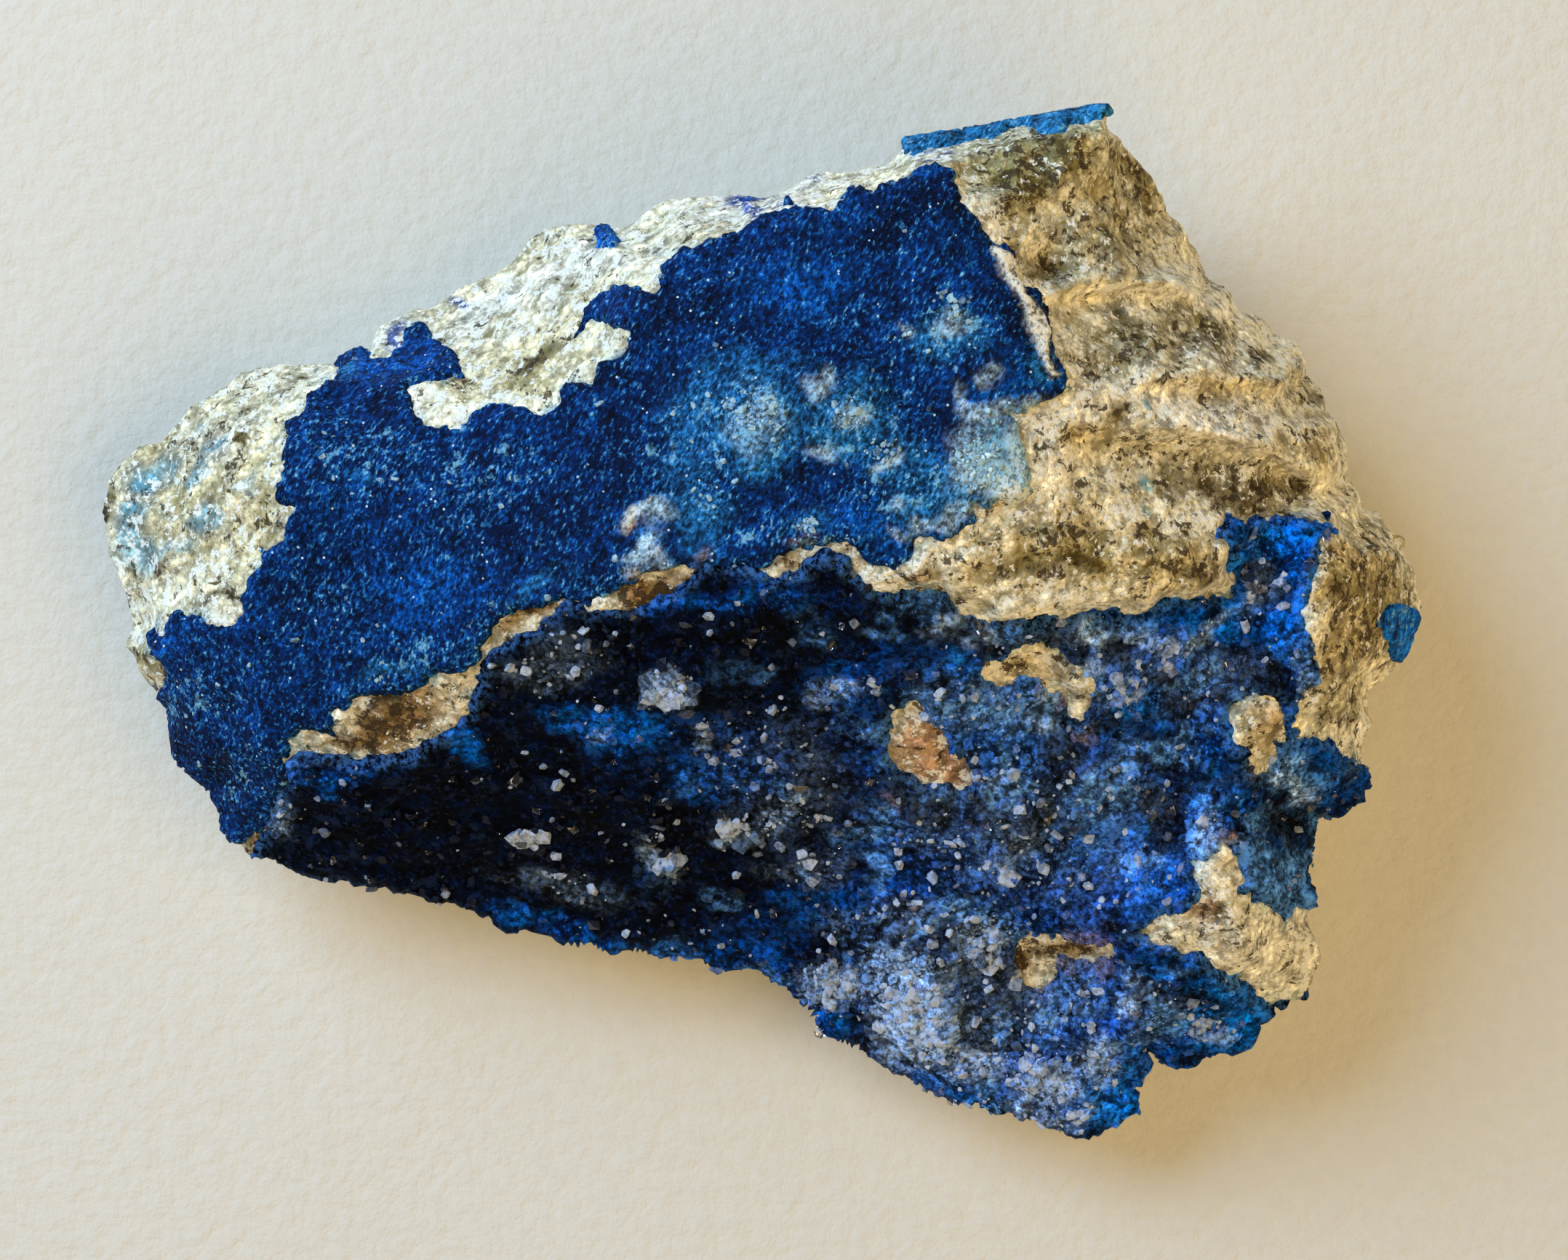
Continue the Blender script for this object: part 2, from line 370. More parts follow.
UPPER_BLOTCHES = {
    "navy": [
        (9.5, 24, 5, 1.8, 25, 0.8), (-9.5, 14.6, 3.6, 1.4, 10, 0.8), (-4, 19, 3, 1.5, 30, 0.7),
        (15.5, 17.5, 1.2, 2.6, 20, 0.5), (-14, 5.5, 6, 2.6, 30, 0.55), (-22, 13.2, 3, 1.4, 20, 0.5),
        (-33, -8, 2, 3, 20, 0.6), (-8, 10, 3, 2.5, 40, 0.6), (4, 15.5, 2, 0.8, 20, 0.5),
        (12, 12.4, 2.4, 1.2, 0, 0.5), (-27, 3, 3, 2, 40, 0.4), (-10, 2.6, 2.5, 0.6, 20, 0.5),
        (2, 9, 2, 0.7, -20, 0.5),
    ],
    "azure": [
        (3, 20, 3.4, 1.8, 25, 0.6), (-20, 1.5, 5, 1.6, 20, 0.6), (-14, -1, 3, 1.2, 20, 0.6),
        (-23, 16, 2, 1.2, 20, 0.8), (-20.6, 15.8, 1.6, 1.2, 0, 0.9), (14, 14.2, 3, 1.4, 30, 0.5),
        (-36, -1, 1, 1.2, 0, 0.6), (10, 26.4, 1.6, 0.8, 20, 0.7), (-25, 8.6, 2.4, 0.9, 10, 0.6),
        (8, 6, 5, 1.6, 0, 0.6), (-2, 5, 3, 1, 0, 0.5), (17.4, 14.8, 0.8, 1.6, 0, 0.7),
        (-9.6, 16.8, 0.8, 1.4, 0, 0.9),
    ],
    "sky": [
        (-0.6, 12.2, 4.2, 3.4, 0, 0.8), (5.4, 12.4, 3, 2.4, 0, 0.75), (11, 17.4, 2.6, 1.8, 10, 0.6),
        (-3.8, 8.8, 2, 1.6, 0, 0.4), (8.4, 9.6, 2.6, 1.6, -20, 0.5), (10.5, 17, 1.6, 1.6, 0, 0.5),
        (-4, 6.4, 1.6, 1, 0, 0.5), (10.6, 7.4, 3, 1.4, 0, 0.7), (-3.4, 6.2, 2.4, 2, 0, 0.6),
        (12.5, 8.8, 2.4, 1.6, 0, 0.7), (14.6, 9.4, 1.8, 2.2, 0, 0.7), (-6.2, 4.2, 1, 1, 0, 0.7),
        (-22.5, -3.2, 2.6, 0.8, 20, 0.6), (-8.6, 17.4, 0.6, 1, 0, 0.5), (-24.2, 8.9, 1.2, 0.5, 0, 0.7),
        (-12.5, 1.9, 2.4, 0.5, 25, 0.6), (3.4, 6.2, 2, 1, 0, 0.5), (16.9, 15.2, 0.8, 1.6, 10, 0.8),
        (-25, 15.3, 1.4, 0.4, 25, 0.6),
    ],
    "chalk": [
        (-0.4, 12.2, 2.2, 1.7, 0, 0.4), (3.6, 14.4, 0.9, 0.7, 0, 0.6), (5.8, 12.7, 1.1, 0.8, 0, 0.7),
        (4.2, 10.4, 0.9, 0.7, 0, 0.6), (7.4, 10, 0.8, 0.5, 20, 0.9), (8.9, 7.5, 0.8, 0.6, 0, 0.6),
        (10.8, 7, 0.6, 0.5, 0, 0.7), (11.6, 17.8, 1.3, 0.9, 20, 0.6), (2.9, 5.9, 0.7, 0.5, 0, 0.6),
        (13.4, 14.9, 0.9, 0.6, -30, 0.6), (8.7, 17.6, 0.6, 0.5, 0, 0.6), (15.2, 8.4, 2.8, 2.1, 0, 1),
        (11.6, 6.6, 1.6, 0.7, 0, 0.5), (9.4, 5.6, 1.2, 0.5, 0, 0.5), (16.2, 10.4, 1.5, 2.4, 0, 1),
        (13.6, 9.4, 2.4, 2.2, 0, 0.75), (13.8, 12.4, 1.6, 0.8, -20, 0.6), (13.6, 11.2, 1.2, 0.5, -25, 0.5),
        (-5.4, 6, 1, 0.8, 0, 0.6), (12.8, 13.6, 1.4, 0.35, -30, 0.6), (-6.4, 6.4, 1.6, 0.7, 10, 0.8),
        (-5.6, 5.8, 0.9, 0.9, 0, 0.8), (-6.6, 4.4, 1.3, 0.4, 10, 0.8),
    ],
    "white": [(-7.3, 6.1, 0.5, 0.7, 0, 0.7), (-6.6, 3.7, 1.2, 0.4, 10, 0.6), (15.4, 8, 1.6, 0.8, 0, 0.6)],
    "ochre": [(-7, 5.6, 0.5, 0.3, 0, 0.9), (-3.4, 4.6, 0.8, 0.3, 20, 0.6), (2.6, 4.6, 1.4, 0.4, 20, 0.6)],
}
LOWER_BLOTCHES = {
    "deep": [
        (27, -5, 15, 11, 0, 1), (-6, 1.8, 5, 0.8, 10, 0.4), (17, -17, 14, 9, -10, 0.8),
        (20, -26, 13, 6, -10, 1), (11, -5, 8, 5, 0, 0.8), (-3, -8, 7, 3, -12, 0.35),
        (-26.5, -9.4, 3.4, 1, 0, 0.6), (-8, -20, 9, 1.2, -8, 0.8), (2, -21, 6, 3, -20, 0.8),
        (0, 1.6, 6, 1.2, 0, 0.3),
    ],
    "royal": [
        (28, -0.6, 6, 2.4, 0, 0.8), (31.2, 4, 4, 3.4, 0, 1), (31.6, 1, 2, 2, 0, 0.8),
        (14, -7, 3.4, 3.4, 0, 0.6), (24, -14, 2.4, 4, -15, 0.7), (27.4, -10, 1.6, 4, 0, 0.6),
        (27, -23.2, 5.4, 2.8, -30, 1), (21, -28.4, 3.4, 2.4, 20, 0.9), (27, -17, 1.2, 3, 0, 0.8),
        (33.8, -12, 1, 2.4, 0, 0.8), (19, -13, 4, 2.4, 20, 0.5), (-9, -5.6, 3.5, 1.4, -15, 0.6),
        (-2.5, -9.5, 4, 1.2, 0, 0.35), (5, -3.4, 3, 1.4, 0, 0.45), (6, -17, 5, 1.6, -10, 0.4),
        (-6, -19.6, 4, 0.9, -5, 0.6), (-14, -18, 3, 0.8, -10, 0.5), (12.2, -2.6, 3, 1.2, 0, 0.7),
        (22.4, -6, 3, 2, 0, 0.6), (16, -24, 4, 2.4, 0, 0.5), (-1, 1.4, 5, 0.9, 0, 0.3),
        (-26, -9.6, 2.4, 0.7, 0, 0.5), (-17.6, -6.4, 1, 2, 40, 0.5), (12, -28, 3, 1, -20, 0.7),
        (4, -24, 2.6, 0.8, -25, 0.6), (34.5, -9.6, 1.6, 1.2, 0, 0.5), (31.6, -15.8, 1.6, 1.8, 0, 0.6),
    ],
    "haze": [
        (9, -21.5, 4.4, 3, -20, 0.5), (32, -16.6, 1.6, 1.6, 0, 0.9), (33.4, -18.6, 0.9, 1.2, 30, 0.7),
        (31.6, -9.2, 3, 0.8, -6, 0.9), (27.4, -13.8, 0.8, 2.6, 12, 0.9), (28.6, -9.6, 1.6, 0.8, 30, 0.8),
        (14.4, -10.4, 2.6, 1.4, 0, 0.6), (20.5, -11.4, 3, 1.2, 20, 0.5), (15, -13.6, 3.4, 1.6, 10, 0.35),
        (13.8, -5.2, 2.2, 2, 0, 0.55), (18.5, -6.6, 2, 1.4, 0, 0.5), (30.8, -9.6, 2.4, 0.9, 0, 0.7),
        (27.6, -12.4, 0.9, 2.6, 0, 0.6), (31.8, -15.6, 1.3, 1.6, 0, 0.6), (19.6, -22.6, 3, 2, 0, 0.45),
        (22.8, -21.8, 0.7, 1.8, 0, 0.6), (24, -18.6, 1.6, 0.4, 10, 0.8), (32.6, -3.2, 1, 2.2, 0, 0.6),
        (12, -17, 3, 1.6, 0, 0.3), (-28.6, -9.8, 0.8, 2.6, 0, 0.5), (30.5, 1.2, 1.4, 1.6, 0, 0.5),
        (22.4, -3.6, 1.4, 1.1, 0, 0.4), (26, -4.6, 2, 1, 0, 0.4), (9, -12, 3, 1.2, 0, 0.25),
    ],
    "frost": [
        (8.6, -20.4, 2, 1.6, 0, 0.5), (10, -24.6, 3.2, 2.4, -30, 0.7), (13.6, -19.2, 1.6, 1.2, 0, 0.5),
        (4.6, -21.8, 1.8, 1.2, 0, 0.6), (17.6, -27.6, 1.6, 1.4, 0, 0.5), (22.8, -22.6, 0.7, 1.4, 0, 0.6),
        (-5.2, -3.8, 1.6, 0.8, -10, 0.5), (20.4, -26.2, 1.4, 0.9, 0, 0.45), (32.8, -4.2, 1.3, 1.2, 0, 0.8),
        (29.6, -8.8, 1.2, 0.8, 0, 0.7), (27.9, -13, 0.7, 1.8, 10, 0.7), (17, -5.4, 1.6, 0.6, -40, 0.5),
        (15.6, -29.2, 1.6, 0.6, 10, 0.5), (13.8, -26.6, 1.4, 0.9, 0, 0.5), (18, -0.5, 7, 0.9, 0, 1),
        (12, 0.1, 2.2, 0.8, -20, 0.9), (25.4, -0.2, 2.6, 0.5, 5, 0.7), (31.8, -9.6, 2.8, 0.55, -8, 0.9),
        (19.9, -3.6, 1, 1.9, -20, 0.6), (24.6, -18.4, 1.6, 0.5, 10, 0.8),
    ],
    "ochre": [
        (18.6, -19.9, 3, 1.3, 0, 0.7), (16.6, -21.4, 1.3, 1.8, 0, 0.7), (18.6, -5.4, 0.9, 1.4, 20, 0.7),
        (19.6, -7.6, 0.6, 0.8, 0, 0.7), (29, -13, 0.8, 0.6, 0, 0.9), (13.4, -9.6, 1.6, 0.7, 0, 0.4),
        (8.6, -10.4, 1.2, 0.6, 0, 0.3), (29.4, -9.4, 0.8, 0.7, 0, 0.6), (20.8, -20.6, 1.2, 0.7, -30, 0.5),
    ],
    "pitch": [
        (31.4, -11.7, 2.8, 1.8, 20, 1), (32.4, -12.6, 1.6, 1.2, 0, 1), (25.8, -12.4, 0.9, 3.2, 0, 0.7),
        (30, 3.6, 0.8, 1.2, 0, 0.7), (21.5, -18.4, 2.6, 0.7, 0, 0.6), (17.6, -23.6, 2.6, 0.6, 0, 0.5),
        (11.8, -18.8, 1.8, 0.5, -20, 0.4), (20, -9.6, 3, 0.8, 20, 0.5), (14.4, -3.8, 2, 0.5, 0, 0.4),
        (24, -8.4, 1.6, 0.8, 0, 0.5), (33, -13, 0.8, 1, 0, 0.7), (28, -3.6, 3.2, 0.6, 0, 0.4),
        (23.6, -20.2, 3, 0.7, -25, 0.5),
    ],
}
DIRTY = ("umber", "olive", "drab", "tan", "ochre")  # the stone's colours that go with dirt in it

# The white vein along the upper crust's right side: x, y and half width.
VEIN = [
    (14.1, 22.3, 0.25), (14.5, 21.7, 0.5), (14.9, 20.8, 0.65), (15.2, 20.1, 0.45), (15.5, 19.5, 0.3),
    (15.8, 18.9, 0.5), (16.3, 18.1, 0.65), (16.6, 17.3, 0.65), (16.8, 16.5, 0.45), (17.1, 15.6, 0.25),
    (17.5, 14.6, 0.2),
]

# Where the light flecks of the upper crust crowd together, and where the lower crust's grains do.
FLECKED = [
    (-0.6, 12, 4.4, 3.6, 0, 0.9), (6, 11.6, 4, 2.6, 0, 0.8), (10, 7.8, 5, 2.4, 0, 0.8),
    (11, 17.4, 4, 2.6, 0, 0.7), (-20, -1.8, 6, 1.8, 18, 0.7), (-33.4, -4.4, 3, 3, 0, 0.6),
    (-24, 9.4, 4, 2.6, 0, 0.7), (-16.5, 8.4, 5, 2.6, 20, 0.6), (-25, 1.5, 4, 3, 0, 0.45),
    (2, 5.4, 6, 1.4, 0, 0.7), (4, 18, 3, 1.6, 0, 0.5), (14.6, 9.2, 3, 3, 0, 1.3),
    (-10, 2.8, 3, 0.8, 20, 0.5), (-31, -9, 2, 3, 0, 0.5), (-4, 9, 3, 3, 0, 0.6), (15, 10, 2.4, 3, 0, 0.8),
]
WHITE_DRUSE = [
    (-5.2, -3.8, 1.7, 1, -10, 1), (-2.5, -7, 0.9, 0.7, 0, 0.8), (-1.5, -12, 1.2, 0.8, 0, 0.9),
    (-5.5, -14.2, 1.6, 0.6, -35, 0.9), (-9.8, -6.3, 0.7, 0.5, 0, 0.7), (4.4, -4.6, 1.6, 1, 0, 0.6),
    (1.4, -11.2, 2.6, 1, 10, 0.7), (9.6, -23.4, 4, 2.8, -30, 1), (4.8, -21.6, 2.4, 1.6, -20, 0.9),
    (13.6, -19, 2.4, 1.8, 0, 0.7), (13.4, -26.8, 2.4, 1.8, 0, 0.8), (17.4, -27.6, 2, 1.8, 0, 0.9),
    (20.4, -26.8, 1.8, 1.4, 0, 0.7), (18, -29.6, 2.6, 0.9, 10, 0.7), (27.4, -24.6, 1.4, 0.9, 0, 0.8),
    (-29, -11.4, 1, 2, 0, 0.6), (2.6, -14.6, 3.4, 1.2, 0, 0.4), (15, -14, 3, 1.6, 0, 0.5),
    (24, -1.6, 3, 1.6, 0, 0.45), (-12.6, -2.6, 3.4, 1.4, 25, 0.4), (8, -17.6, 4, 1.6, 0, 0.45),
    (30.4, 2, 1.4, 1.6, 0, 0.5), (22, -4.2, 3, 1.4, 0, 0.5), (-12, -15.5, 5, 1.2, -10, 0.35),
    (28.2, -3.2, 2.6, 1.4, 0, 0.35), (19, -22, 2.4, 1.8, 0, 0.4), (24.2, -23.6, 2.2, 1.2, 0, 0.35),
    (11.5, -12.4, 3, 1.6, 0, 0.35), (17, -12, 11, 7, -10, 0.3), (24, -3, 9, 3.4, 0, 0.26),
    (13, -4.6, 6, 3, 0, 0.32), (2, -9.6, 6, 4.4, -10, 0.22), (14, -24, 10, 6, -20, 0.34),
]


def linear(red, green, blue):
    """A screen colour, 0 to 255, as linear light."""
    shares = (value / 255 for value in (red, green, blue))
    return tuple(c / 12.92 if c < 0.04045 else ((c + 0.055) / 1.055) ** 2.4 for c in shares)


def colour(name, description, *screen):
    return FloatVectorProperty(
        name=name, description=description, default=linear(*screen), subtype="COLOR", size=3, min=0, max=1
    )


def length(name, description, millimetres):
    return FloatProperty(
        name=name, description=description, default=millimetres * MM, min=0, precision=5, unit="LENGTH"
    )


def power(name, description, watts):
    return FloatProperty(name=name, description=description, default=watts, min=0, unit="POWER")


# Places, distances and noise.


def plan(outline):
    """A list of plan places as metres in the frame."""
    return (np.array(outline, float) + PLAN_SHIFT) * MM


def eased(low, high, value):
    """0 below low, 1 above high, and smooth between."""
    share = np.clip((value - low) / (high - low), 0, 1)
    return share * share * (3 - 2 * share)


def lattice_noise(points, size, seed):
    """Smooth noise from -1 to 1, whose lumps are about size across."""
    cell = np.floor(points / size).astype(np.int64)
    share = points / size - cell
    share = share * share * (3 - 2 * share)
    total = np.zeros(len(points))
    for corner in itertools.product((0, 1), repeat=3):
        number = (cell + corner) @ np.array((73856093, 19349663, 83492791)) + seed * 374761393
        number = (number ^ (number >> 13)) * 1274126177
        height = ((number ^ (number >> 16)) & 0xFFFF) / 32767.5 - 1
        total += height * np.where(corner, share, 1 - share).prod(axis=1)
    return total


def layered_noise(points, size, seed, layers=3):
    """Noise from -1 to 1 with finer and weaker layers on top of the first."""
    weights = 0.5 ** np.arange(layers)
    parts = [w * lattice_noise(points, size * w, seed + i) for i, w in enumerate(weights)]
    return sum(parts) / weights.sum()


def frayed(points, frays, seed):
    """The points' plan places, moved about so that a line drawn through them frays."""
    places = points[:, :2].copy()
    for layer, (size, reach) in enumerate(frays):
        for axis in range(2):
            places[:, axis] += reach * lattice_noise(points, size, seed + 2 * layer + axis)
    return places


def depth_inside(places, outline):
    """How far inside a closed outline each place lies, negative outside it."""
    nearest = np.full(len(places), np.inf)
    inside = np.zeros(len(places), bool)
    for a, b in zip(outline, np.roll(outline, -1, axis=0)):
        side = b - a
        share = np.clip((places - a) @ side / (side @ side), 0, 1)
        nearest = np.minimum(nearest, np.hypot(*(places - a - share[:, None] * side).T))
        if a[1] != b[1]:
            crossing = a[0] + (places[:, 1] - a[1]) / side[1] * side[0]
            inside ^= ((a[1] > places[:, 1]) != (b[1] > places[:, 1])) & (places[:, 0] < crossing)
    return np.where(inside, nearest, -nearest)


def ribbon_share(places, line):
    """1 on a ribbon's middle line, falling to 0 beside it."""
    line = np.array(line)
    middle, half = plan(line[:, :2]), line[:, 2] * MM
    best = np.zeros(len(places))
    for a, b, width, next_width in zip(middle, middle[1:], half, half[1:]):
        side = b - a
        share = np.clip((places - a) @ side / (side @ side), 0, 1)
        away = np.hypot(*(places - a - share[:, None] * side).T) / (width + (next_width - width) * share)
        best = np.maximum(best, 1 - eased(*VEIN_EDGE, away))
    return best


def crust_depth(points, normals, outline, windows, seed):
    """How far inside a crust's frayed edge each point of the stone's skin lies."""
    places = frayed(points, EDGE_FRAYS, seed)
    depth = depth_inside(places, plan(outline))
    for window in windows:
        depth = np.minimum(depth, -WINDOW_REACH - depth_inside(places, plan(window)))
    turn = RIM_REACH * (normals[:, 2] + RIM_WAVE * lattice_noise(points, RIM_SIZE, seed + 9))
    return np.minimum(depth, turn)


def upper_depth(points, normals):
    return crust_depth(points, normals, UPPER_CRUST, (), SEEDS["upper edge"])


def lower_depth(points, normals):
    return crust_depth(points, normals, LOWER_CRUST, LOWER_WINDOWS, SEEDS["lower edge"])


def patch_depth(points, normals, node):
    """How far inside the frayed edge of a small crust, which stays by its solid, each point lies."""
    tree = solid_tree(node)
    low, high = (np.array(corner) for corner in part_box(node))
    depth = np.full(len(points), -1.0)
    near = ((points > low - PATCH_REACH * 2) & (points < high + PATCH_REACH * 2)).all(axis=1)
    for i in np.flatnonzero(near):
        depth[i] = PATCH_REACH - tree.find_nearest(points[i])[3]
    depth += PATCH_WAVE * layered_noise(points, PATCH_SIZE, SEEDS["patch waves"], 2)
    places = frayed(points[near], EDGE_FRAYS, SEEDS["patch edge"])
    depth[near] = np.minimum(depth[near], depth_inside(places, plan(PATCHES[node])))
    return depth


@functools.cache
def solid_tree(node):
    """A CAD node's faces, to be searched for the nearest."""
    return BVHTree.FromObject(frame["nodes"][node], bpy.context.evaluated_depsgraph_get())


def blotch_share(places, blotch):
    """How strongly a blotch covers each place."""
    x, y, long_radius, short_radius, tilt, strength = blotch
    across = places - plan([(x, y)])
    turn = math.radians(tilt)
    along = across @ (math.cos(turn), math.sin(turn)) / (long_radius * MM)
    aside = across @ (-math.sin(turn), math.cos(turn)) / (short_radius * MM)
    return strength * (1 - eased(*BLOTCH_EDGE, np.hypot(along, aside)))


def covered(points, blotches, seed):
    """The strongest share of any of the blotches at each point."""
    places = frayed(points, BLOTCH_FRAYS, seed)
    return np.max([blotch_share(places, blotch) for blotch in blotches], axis=0)


def toward(tint, shade, share):
    """Moves colours by a share of the way to a shade."""
    tint[:, :3] += (np.array(shade) - tint[:, :3]) * share[:, None]


def painted(points, start, blotches, settings, seed):
    """Each point's colour: the start colour with the blotches laid over it in turn."""
    tint = np.ones((len(points), 4))
    tint[:, :3] = start
    places = frayed(points, BLOTCH_FRAYS, seed)
    for name, spots in blotches.items():
        toward(tint, getattr(settings, name), np.max([blotch_share(places, spot) for spot in spots], axis=0))
    return tint


# Meshes as arrays of points and triangles.


def merged(node):
    """A copy of a CAD node's mesh with its loose triangles merged."""
    shape = bmesh.new()
    shape.from_mesh(frame["nodes"][node].data)
    bmesh.ops.remove_doubles(shape, verts=shape.verts, dist=MERGE)
    points = np.array([v.co for v in shape.verts])
    faces = np.array([[v.index for v in f.verts] for f in shape.faces])
    shape.free()
    return points, faces


def edges_of(faces):
    """Each edge once, and for each triangle the numbers of its three edges."""
    ends = np.sort(faces[:, [0, 1, 1, 2, 2, 0]].reshape(-1, 2), axis=1)
    count = faces.max() + 1
    keys, numbers = np.unique(ends[:, 0] * count + ends[:, 1], return_inverse=True)
    return np.stack((keys // count, keys % count), axis=1), numbers.reshape(-1, 3)


def refined(points, faces, longest):
    """Halves every edge that is longer than longest says at its ends, until none is left."""
    while True:
        edges, numbers = edges_of(faces)
        size = np.linalg.norm(points[edges[:, 0]] - points[edges[:, 1]], axis=1)
        split = size > longest[edges].mean(axis=1)
        if not split.any():
            return points, faces
        middle = np.full(len(edges), -1)
        middle[split] = len(points) + np.arange(split.sum())
        points = np.vstack((points, points[edges[split]].mean(axis=1)))
        longest = np.concatenate((longest, longest[edges[split]].mean(axis=1)))
        faces = divided(faces, middle[numbers])


def divided(faces, middles):
    """The triangles, each cut at its middle points. A middle of -1 is an edge that stays whole."""
    cuts = (middles >= 0).sum(axis=1)
    whole = faces[cuts == 0]
    first = np.argmax(middles >= 0, axis=1)
    last = np.argmin(middles >= 0, axis=1) + 1
    turn = np.where(cuts == 1, first, np.where(cuts == 2, last, 0))[:, None]
    order = (np.arange(3) + turn) % 3
    corner, middle = np.take_along_axis(faces, order, 1).T, np.take_along_axis(middles, order, 1).T
    a, b, c = corner
    ab, bc, ca = middle
    parts = [whole]
    for count, triangles in (
        (1, ((a, ab, c), (ab, b, c))),
        (2, ((ab, b, bc), (a, ab, bc), (a, bc, c))),
        (3, ((a, ab, ca), (ab, b, bc), (ca, bc, c), (ab, bc, ca))),
    ):
        chosen = cuts == count
        parts += [np.stack(triangle, axis=1)[chosen] for triangle in triangles]
    return np.vstack(parts)


def summed(index, values, count):
    """The values added up at each index."""
    return np.stack([np.bincount(index, values[:, k], count) for k in range(3)], axis=1)


def normals_of(points, faces):
    """Each point's normal, which follows its larger triangles most."""
    a, b, c = (points[faces[:, k]] for k in range(3))
    flat = np.repeat(np.cross(b - a, c - a), 3, axis=0)
    total = summed(faces.ravel(), flat, len(points))
    return total / np.maximum(np.linalg.norm(total, axis=1, keepdims=True), 1e-12)


def beside(points, edges):
    """The middle of each point's neighbours."""
    index, other = edges.ravel(), edges[:, ::-1].ravel()
    count = np.maximum(np.bincount(index, minlength=len(points)), 1)[:, None]
    return summed(index, points[other], len(points)) / count


def smoothed(points, faces, free, rounds):
    """Takes facets and kinks away without shrinking the whole."""
    edges, _ = edges_of(faces)
    for step in (SHRINK, REGROW) * rounds:
        points = points + step * free * (beside(points, edges) - points)
    return points


def kept_part(points, faces, keep):
    """Only the chosen triangles, with the points that they use."""
    used, faces = np.unique(faces[keep], return_inverse=True)
    return points[used], faces.reshape(-1, 3), used


def open_edges(faces):
    """The edges that only one triangle has, in that triangle's direction."""
    sides = faces[:, [0, 1, 1, 2, 2, 0]].reshape(-1, 2)
    _, numbers = edges_of(faces)
    return sides[np.bincount(numbers.ravel())[numbers.ravel()] == 1]


def without_pinches(faces):
    """Drops the triangles that touch the rest at a single point only."""
    while True:
        ends = np.bincount(open_edges(faces)[:, 0], minlength=faces.max() + 1)
        bad = (ends > 1)[faces].any(axis=1)
        if not bad.any():
            return faces
        faces = faces[~bad]


@functools.cache
def stone_skin():
    """The whole stone's skin: points, triangles and normals, smooth but without fine relief."""
    points, faces = merged("matrix_rock")
    longest = np.where(points[:, 2] < BASE_HEIGHT, BASE_FACET, SKIN_FACET)
    points, faces = refined(points, faces, longest)
    free = (points[:, 2] > BASE_HEIGHT)[:, None].astype(float)
    points = smoothed(points, faces, free, SKIN_ROUNDS)
    return points, faces, normals_of(points, faces)


def mesh_object(name, points, faces, material=None, **attributes):
    """A named mesh object with the values given for each point."""
    mesh = bpy.data.meshes.new(name)
    mesh.from_pydata(points.tolist(), [], faces.tolist())
    mesh.shade_smooth()
    for key, values in attributes.items():
        kind, field = ("FLOAT_COLOR", "color") if values.ndim == 2 else ("FLOAT", "value")
        layer = mesh.attributes.new(key, kind, "POINT")
        layer.data.foreach_set(field, values.astype(np.float32).ravel())
    if material:
        mesh.materials.append(material)
    made = bpy.data.objects.new(name, mesh)
    bpy.context.scene.collection.objects.link(made)
    return made


# Node trees.


def add(tree, kind, inputs=(), **settings):
    """Adds a node. Its inputs go by name or number, each a value or another node's output."""
    made = tree.nodes.new(kind)
    for key, value in settings.items():
        setattr(made, key, value)
    for key, value in inputs.items() if isinstance(inputs, dict) else enumerate(inputs):
        if isinstance(value, bpy.types.NodeSocket):
            tree.links.new(value, made.inputs[key])
        elif value is not None:
            made.inputs[key].default_value = value
    return made


def maths(tree, operation, *values):
    """What an operation makes of values, each a number or another node's output."""
    return add(tree, "ShaderNodeMath", values, operation=operation).outputs[0]


def times(tree, first, second):
    return maths(tree, "MULTIPLY", first, second)


def vectors(tree, operation, *values, **scale):
    """The same for vectors."""
    inputs = dict(enumerate(values)) | scale
    return add(tree, "ShaderNodeVectorMath", inputs, operation=operation).outputs[0]


def spread(tree, value, low, high, start=0.0, end=1.0):
    """A value from low to high, eased to one from start to end."""
    ranges = (value, low, high, start, end)
    return add(tree, "ShaderNodeMapRange", ranges, interpolation_type="SMOOTHSTEP").outputs[0]


def mixed(tree, share, first, second, blend="MIX"):
    """Two colours mixed by a share."""
    inputs = {0: share, 6: first, 7: second}
    return add(tree, "ShaderNodeMix", inputs, data_type="RGBA", blend_type=blend).outputs[2]


def noise(tree, where, size, roughness=0.6, number=0.0, distortion=0.0):
    """Noise from 0 to 1 whose lumps are about size across. The number picks another pattern."""
    inputs = {"Vector": where, "W": number, "Scale": 1 / size, "Detail": math.log2(size / FINEST)}
    inputs |= {"Roughness": roughness, "Distortion": distortion}
    return add(tree, "ShaderNodeTexNoise", inputs, noise_dimensions="4D").outputs[0]


def rgba(value):
    return (*value, 1.0)


def named_inputs(tree, inputs):
    """Gives a group its inputs, by name, socket kind and default."""
    for name, kind, default in inputs:
        socket = tree.interface.new_socket(name, in_out="INPUT", socket_type=kind)
        if default is not None:
            socket.default_value = default
    tree.interface.new_socket("Geometry", in_out="OUTPUT", socket_type="NodeSocketGeometry")
    return add(tree, "NodeGroupInput").outputs


def finished(tree, geometry, material):
    """Ends a tree: instances made real and the material set."""
    real = add(tree, "GeometryNodeRealizeInstances", {"Geometry": geometry}).outputs[0]
    dressed = add(tree, "GeometryNodeSetMaterial", {"Geometry": real, "Material": material}).outputs[0]
    add(tree, "NodeGroupOutput", {"Geometry": dressed})
    return tree


